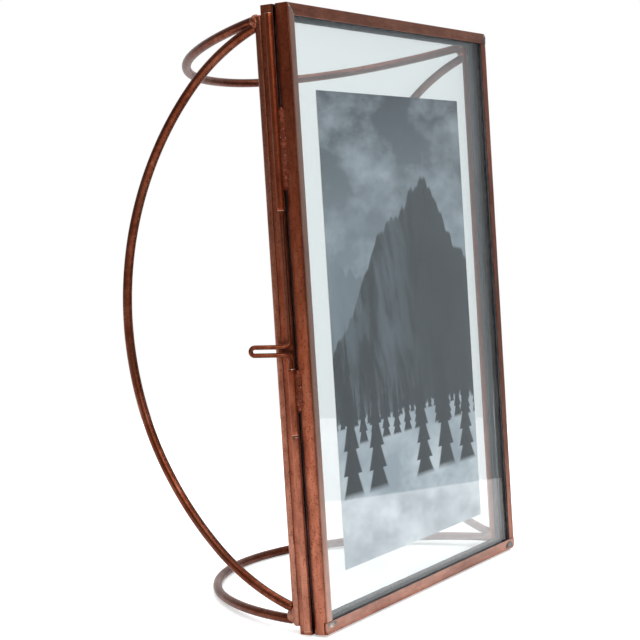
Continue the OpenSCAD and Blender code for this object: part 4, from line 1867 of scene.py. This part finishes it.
@dataclass(frozen=True)
class SolderWork:
    """All the solder: runs beside the tubes and rods, beads on the corners, and drops at the joints."""

    shop: Workshop
    half_w: float = 70.0
    reach: float = 1.7
    sunk: float = 0.06
    door_overlap: float = 0.25
    rear_gap: float = 0.2
    door_arc: Band = (-90.0, 55.0)
    rear_arc: Band = (160.0, -90.0)
    rod_arc: Band = (-85.0, 65.0)
    tube_runs: tuple[float, float, float] = (0.06, 0.44, 0.82)
    tube_run_len: float = 6.0
    long_tube_run: Band = (6.0, 31.0)
    short_tube_run: Band = (-13.1, -0.6)
    rod_runs: tuple[Band, Band, Band] = ((168.1, 179.8), (95.5, 101.5), (27.0, 33.0))
    rear_bead_inset: float = 2.9
    joint_inset: float = 2.25
    joint_half: Vector = Vector((1.85, 2.0, 2.3))

    def bar(self, node: str) -> Bar:
        """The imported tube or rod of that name."""
        return Bar(*self.shop.placement.box(node))

    def door_plan(self, side: float, bar: Bar, face_y: float) -> Plan:
        """Plan of a run between a tube and the door's side, in front of the tube.

        Args:
            side: Minus one on the left of the frame, one on the right.
            bar: The tube.
            face_y: Depth of the door's rear face.

        Returns:
            The plan of the run.
        """
        wall = side * (self.half_w - self.sunk)

        def plan(share: float) -> tuple[Vector, Vector, Vector, Vector]:
            """Foot, crevice, contact and inside for a share of the full reach."""
            foot = Vector((wall, face_y - self.reach * share))
            return foot, Vector((wall, face_y + self.door_overlap)), *bar.touch(side, self.door_arc, share)

        return plan

    def rear_plan(self, side: float, bar: Bar) -> Plan:
        """Plan of a run between a tube and the back frame's side, behind the tube.

        Args:
            side: Minus one on the left of the frame, one on the right.
            bar: The tube.

        Returns:
            The plan of the run.
        """
        wall = side * (self.half_w - self.sunk)

        def plan(share: float) -> tuple[Vector, Vector, Vector, Vector]:
            """Foot, crevice, contact and inside for a share of the full reach."""
            foot = Vector((wall, bar.axis.y + self.rear_gap + self.reach * share))
            return foot, Vector((wall, bar.axis.y)), *bar.touch(side, self.rear_arc, share)

        return plan

    def rod_plan(self, bar: Bar, side: float) -> Plan:
        """Plan of a run between a rod and the back frame's rear face.

        Args:
            bar: The rod.
            side: Minus one on the rod's left, one on its right.

        Returns:
            The plan of the run.
        """
        face = bar.axis.y - bar.radius - self.sunk

        def plan(share: float) -> tuple[Vector, Vector, Vector, Vector]:
            """Foot, crevice, contact and inside for a share of the full reach."""
            foot = Vector((bar.axis.x + side * self.reach * share, face))
            return foot, Vector((bar.axis.x, face)), *bar.touch(side, self.rod_arc, share)

        return plan

    def three_runs(self, plan: Plan, bar: Bar, seed: float) -> list[Mesh]:
        """Three short runs, evenly spaced up a tube."""
        starts = [bar.low.z + (bar.high.z - bar.low.z) * share for share in self.tube_runs]
        return [SolderRun(plan, start, start + self.tube_run_len, seed + start).build() for start in starts]

    def add(
        self, name: str, meshes: Sequence[Mesh], body: Body, node: str,
        materials: Sequence[Material] | None = None, slot: Slot = Slot.SOLDER,
    ) -> None:
        """Joins runs and drops into one piece, coated with copper unless it says otherwise."""
        materials = materials or [self.shop.finishes.coated_solder]
        self.shop.add(name, merge(meshes), materials, body, slot, [node])

    def latch_side(self) -> None:
        """Solder on the latch's tubes."""
        face_y = self.shop.placement.box("front_left_stile")[1].y
        bar, short = self.bar("latch_upper_tube"), self.bar("latch_lower_tube")
        plan = self.door_plan(-1.0, bar, face_y)
        first, last = self.long_tube_run
        meshes = [SolderRun(plan, bar.low.z + first, bar.low.z + last, 61.0).build()]
        first, last = self.short_tube_run
        meshes.append(SolderRun(plan, short.high.z + first, short.high.z + last, 62.0).build())
        self.add("latch_tube_solder_run", meshes, Body.DOOR, "latch_tube_solder", slot=Slot.TUBE)
        bar = self.bar("latch_keeper_tube")
        meshes = self.three_runs(self.rear_plan(-1.0, bar), bar, 63.0)
        self.add("keeper_solder_run", meshes, Body.BACK, "keeper_solder")

    def hinge_side(self) -> None:
        """Solder on the hinge's tubes."""
        meshes = []
        for node in ("hinge_lower_tube", "hinge_upper_tube"):
            bar = self.bar(node)
            meshes += self.three_runs(self.rear_plan(1.0, bar), bar, 80.0)
        self.add("hinge_frame_solder_run", meshes, Body.BACK, "hinge_frame_solder")
        face_y = self.shop.placement.box("front_right_stile")[1].y
        bar = self.bar("hinge_middle_tube")
        meshes = self.three_runs(self.door_plan(1.0, bar, face_y), bar, 90.0)
        self.add("hinge_door_solder_run", meshes, Body.DOOR, "hinge_door_solder")

    def rods(self) -> None:
        """Solder where the rods lie on the back frame."""
        meshes = []
        for node in ("left_rod", "right_rod"):
            bar = self.bar(node)
            for low_z, high_z in self.rod_runs:
                for side in (-1.0, 1.0):
                    plan = self.rod_plan(bar, side)
                    run = SolderRun(plan, low_z, high_z, bar.axis.x + side + low_z)
                    meshes.append(run.build())
        self.add("rod_solder_run", meshes, Body.BACK, "rod_solder")

    def front_corners(self) -> None:
        """A bead on the door's mitred corner and dabs on its butted ones."""
        low, high = self.shop.placement.box("front_left_stile", "front_right_stile")
        centre = Vector((low.x + FRONT_LIP / 2, low.y, high.z - FRONT_LIP / 2))
        meshes = [self.bead(centre, Vector((2.35, 0.12, 0.24)), 45.0, 101.0)]
        dabs = [
            Dab(1.0, 0.9, 0.03, high.z - 2.1, (0.85, 0.16, 1.75), False),
            Dab(-1.0, 3.3, 0.04, low.z + 2.75, (2.3, 0.12, 0.8), False),
            Dab(1.0, 4.8, 0.04, low.z + 1.6, (2.8, 0.15, 1.2), True),
        ]
        for number, dab in enumerate(dabs):
            x = high.x - dab.inward if dab.side > 0 else low.x + dab.inward
            centre = Vector((x, low.y + dab.sunk, dab.z))
            mesh = solder_drop(centre, Vector(dab.half), 103.0 + number, lump=0.5)
            for face in mesh.faces:
                face.material_index = int(dab.tarnished)
            meshes.append(mesh)
        materials = [self.shop.finishes.solder, self.shop.finishes.tarnished_solder]
        self.add("front_corner_solder_bead", meshes, Body.DOOR, "front_corner_solder", materials)

    def back_corners(self) -> None:
        """Beads on the back frame's mitred corners, and one stray drop."""
        low, high = self.shop.placement.box("back_left_stile", "back_right_stile")
        inset = self.rear_bead_inset
        meshes = []
        for number, (side, top) in enumerate(((-1, 1), (1, 1), (-1, -1), (1, -1))):
            edge = high.z if top > 0 else low.z
            centre = Vector((side * (self.half_w - inset), high.y, edge - top * inset))
            meshes.append(self.bead(centre, Vector((1.5, 0.22, 0.42)), side * top * -45.0, 107.0 + number))
        drop = Vector((high.x - 4.55, high.y - 0.3, high.z - 8.4))
        meshes.append(solder_drop(drop, Vector((0.5, 0.28, 0.6)), 111.0, lump=0.2, detail=3))
        materials = [self.shop.finishes.solder]
        self.add("back_corner_solder_bead", meshes, Body.BACK, "back_corner_solder", materials)

    def bead(self, centre: Vector, half: Vector, turn_deg: float, seed: float) -> Mesh:
        """Makes one bead that lies along a mitre.

        Args:
            centre: Its middle, on the face.
            half: Its half length, half height out of the face and half width.
            turn_deg: How far it is turned in the face.
            seed: Shifts its lumps.

        Returns:
            The mesh in upright millimetres.
        """
        mesh = solder_drop(Vector((0, 0, 0)), half, seed, lump=0.3)
        turn = Matrix.Rotation(math.radians(turn_deg), 3, "Y")
        for vertex in mesh.verts:
            vertex.co = turn @ vertex.co + centre
        return mesh

    def joints(self) -> None:
        """Drops that hold the ends of two bows to their rod."""
        low, high = self.shop.placement.box("bow_solder")
        top = self.shop.placement.box("back_left_stile")[1].z
        meshes = []
        for side, x in (("left", low.x + self.joint_inset), ("right", high.x - self.joint_inset)):
            upper = top - (LEVEL_BOW_DROP + SIDE_BOW_DROP[side]) / 2
            lower = (LEVEL_BOW_FOOT + SIDE_BOW_FOOT[side]) / 2
            for number, z in enumerate((upper, lower)):
                centre = Vector((x, (low.y + high.y) / 2, z))
                meshes.append(solder_drop(centre, self.joint_half, 113.0 + number + x, lump=0.16))
        self.add("bow_joint_solder", meshes, Body.BACK, "bow_solder", [self.shop.finishes.rod])

    def build(self) -> None:
        """Makes all the solder."""
        self.latch_side()
        self.hinge_side()
        self.rods()
        self.front_corners()
        self.back_corners()
        self.joints()


@dataclass(frozen=True)
class Lamp:
    """One soft square lamp: where it hangs, its side in metres and its power in watts."""

    name: str
    place: Vector
    size: float
    power: float
    aim: Vector = Vector((0, 0, 0.09))

    def hang(self) -> None:
        """Adds the lamp, pointed at the object."""
        data = bpy.data.lights.new(self.name, "AREA")
        data.size = self.size
        data.energy = self.power
        lamp = bpy.data.objects.new(self.name, data)
        bpy.context.scene.collection.objects.link(lamp)
        lamp.location = self.place
        lamp.rotation_euler = (self.aim - self.place).to_track_quat("-Z", "Y").to_euler()


@dataclass(frozen=True)
class Studio:
    """Pale table and backdrop, soft lamps, and the photograph's camera."""

    eye: Vector = Vector((-0.50024, -0.29267, 0.14147))
    azimuth_deg: float = 59.77
    elevation_deg: float = -5.09
    lens_mm: float = 94.99
    table_corner: Vector = Vector((0.418, 0.034, 0.0))
    front_edge: Vector = Vector((-0.64, -0.77, 0.0))
    rear_edge: Vector = Vector((-0.52, 0.86, 0.0))
    table_size: float = 1.3
    wall: Colour = (0.97, 1.0, 1.0, 1.0)
    seen_glow: float = 0.45
    # Glow that the table shows only in reflections, from one end to the other, and through the panes:
    # painted reflection.
    reflection_glow: Band = (0.4, 0.04)
    pane_glow: float = 0.12

    def camera(self) -> None:
        """Places the camera where the photograph was taken from."""
        data = bpy.data.cameras.new("camera")
        data.sensor_width = 36.0
        data.lens = self.lens_mm
        data.clip_start = 0.01
        camera = bpy.data.objects.new("camera", data)
        bpy.context.scene.collection.objects.link(camera)
        azimuth, elevation = math.radians(self.azimuth_deg), math.radians(self.elevation_deg)
        flat = math.cos(elevation)
        ahead = Vector((math.sin(azimuth) * flat, math.cos(azimuth) * flat, math.sin(elevation)))
        camera.location = self.eye
        camera.rotation_euler = ahead.to_track_quat("-Z", "Y").to_euler()
        bpy.context.scene.camera = camera

    def table_material(self) -> Material:
        """A matt white table that keeps the object's shadow and otherwise runs into the backdrop.

        Returns:
            The node material.
        """
        material, graph = new_material("white_table")
        grain = graph.noise(graph.place(), 18.0, detail=3.0)
        shade = graph.mix(graph.span(grain, 0.3, 0.7), grey(0.86), grey(0.9))
        matt = graph.add("ShaderNodeBsdfDiffuse", {"Color": shade})
        path = graph.add("ShaderNodeLightPath")
        across = graph.add("ShaderNodeSeparateXYZ", {0: graph.place()}).outputs[0]
        # The glow for reflections and through the panes is painted reflection; the glow for the camera keeps
        # the floor evenly white.
        glows = {
            "Is Camera Ray": self.seen_glow,
            "Is Glossy Ray": graph.span(across, -0.15, 0.1, *self.reflection_glow),
            "Is Transmission Ray": self.pane_glow,
        }
        strength = 0.0
        for ray, share in glows.items():
            strength = graph.plus(strength, graph.times(path.outputs[ray], share))
        glow = graph.add("ShaderNodeEmission", {"Strength": strength})
        table = graph.add("ShaderNodeAddShader", {0: matt.outputs[0], 1: glow.outputs[0]})
        graph.show(table.outputs[0])
        return material

    def table(self) -> None:
        """Lays the table, with the edges that the panes show."""
        far_front = self.table_corner + self.front_edge * self.table_size
        far_rear = self.table_corner + self.rear_edge * self.table_size
        across = far_front + self.rear_edge * self.table_size
        data = bpy.data.meshes.new("table")
        data.from_pydata([self.table_corner, far_rear, across, far_front], [], [(0, 1, 2, 3)])
        data.materials.append(self.table_material())
        table = bpy.data.objects.new("table", data)
        bpy.context.scene.collection.objects.link(table)

    def backdrop(self) -> None:
        """White behind the object, and the grey of a dim room on the camera's side."""
        world = bpy.data.worlds.new("studio")
        world.use_nodes = True
        bpy.context.scene.world = world
        graph = Graph(world.node_tree)
        direction = graph.add("ShaderNodeTexCoord").outputs["Generated"]
        azimuth = math.radians(self.azimuth_deg)
        ahead = (math.sin(azimuth), math.cos(azimuth), 0.0)
        dot = graph.add("ShaderNodeVectorMath", {0: direction, 1: ahead}, operation="DOT_PRODUCT")
        room = graph.ramp(graph.span(dot.outputs["Value"], -1.0, 1.0), [
            (0.0, grey(0.16)),
            (0.3, (0.24, 0.23, 0.22, 1.0)),
            (0.72, (0.3, 0.34, 0.36, 1.0)),
            (0.8, (0.38, 0.42, 0.44, 1.0)),
            (0.92, self.wall),
        ])
        up = graph.add("ShaderNodeSeparateXYZ", {0: direction}).outputs[2]
        ceiling = (0.62, 0.62, 0.63, 1.0)
        wall = graph.mix(graph.span(up, 0.15, 0.9), room, ceiling)
        rays = graph.add("ShaderNodeLightPath").outputs
        mirrored = graph.maths("MAXIMUM", rays["Is Glossy Ray"], rays["Is Transmission Ray"])
        diffuse = (0.55, 0.55, 0.56, 1.0)
        light = graph.mix(mirrored, diffuse, wall)
        bounces = graph.plus(rays["Glossy Depth"], rays["Diffuse Depth"])
        unbounced = graph.maths("LESS_THAN", bounces, 0.5)
        light = graph.mix(graph.times(rays["Is Transmission Ray"], unbounced), light, self.wall)
        light = graph.mix(rays["Is Camera Ray"], light, grey(1.0))
        background = graph.add("ShaderNodeBackground", {"Color": light, "Strength": 1.0})
        graph.show(background.outputs[0], "ShaderNodeOutputWorld")

    def build(self) -> None:
        """Sets up the camera, the table, the backdrop and the lamps."""
        bpy.context.scene.view_settings.view_transform = "Standard"
        self.camera()
        self.table()
        self.backdrop()
        Lamp("lamp_front_left", Vector((-0.75, -0.75, 0.85)), size=0.9, power=8.0).hang()
        Lamp("lamp_top", Vector((0.1, 0.1, 1.2)), size=1.0, power=7.0).hang()
        Lamp("lamp_right", Vector((0.45, -1.0, 1.0)), size=0.8, power=6.0).hang()


def main() -> None:
    """Builds the studio and every sub-assembly in order."""
    logging.basicConfig(level=logging.INFO, format="%(name)s: %(message)s")
    Studio().build()
    shop = Workshop(Placement.from_frame(), Finishes())
    door_section = ChannelSection(CHANNEL_DEPTH, FRONT_LIP, SEAM_LEG)
    back_section = ChannelSection(CHANNEL_DEPTH, SEAM_LEG, REAR_LIP)
    # Share of the light scuffed colour on each strip's lips, scuffs and painted reflection, most on the
    # door's left stile and bottom rail.
    door_rub_and_sheen, back_rub_and_sheen = (0.9, 0.0, 0.06, 0.45), (0.2, 0.2, 0.2, 0.2)
    GlazedFrame(shop, "front", Body.DOOR, door_section, True, door_rub_and_sheen, seed=1.0).build()
    GlazedFrame(shop, "back", Body.BACK, back_section, False, back_rub_and_sheen, seed=5.0).build()
    FloatingPrint(shop).build()
    TubeRow(shop).build()
    LatchWire(shop).build()
    WireCage(shop).build()
    SolderWork(shop).build()


if __name__ == "__main__":
    main()
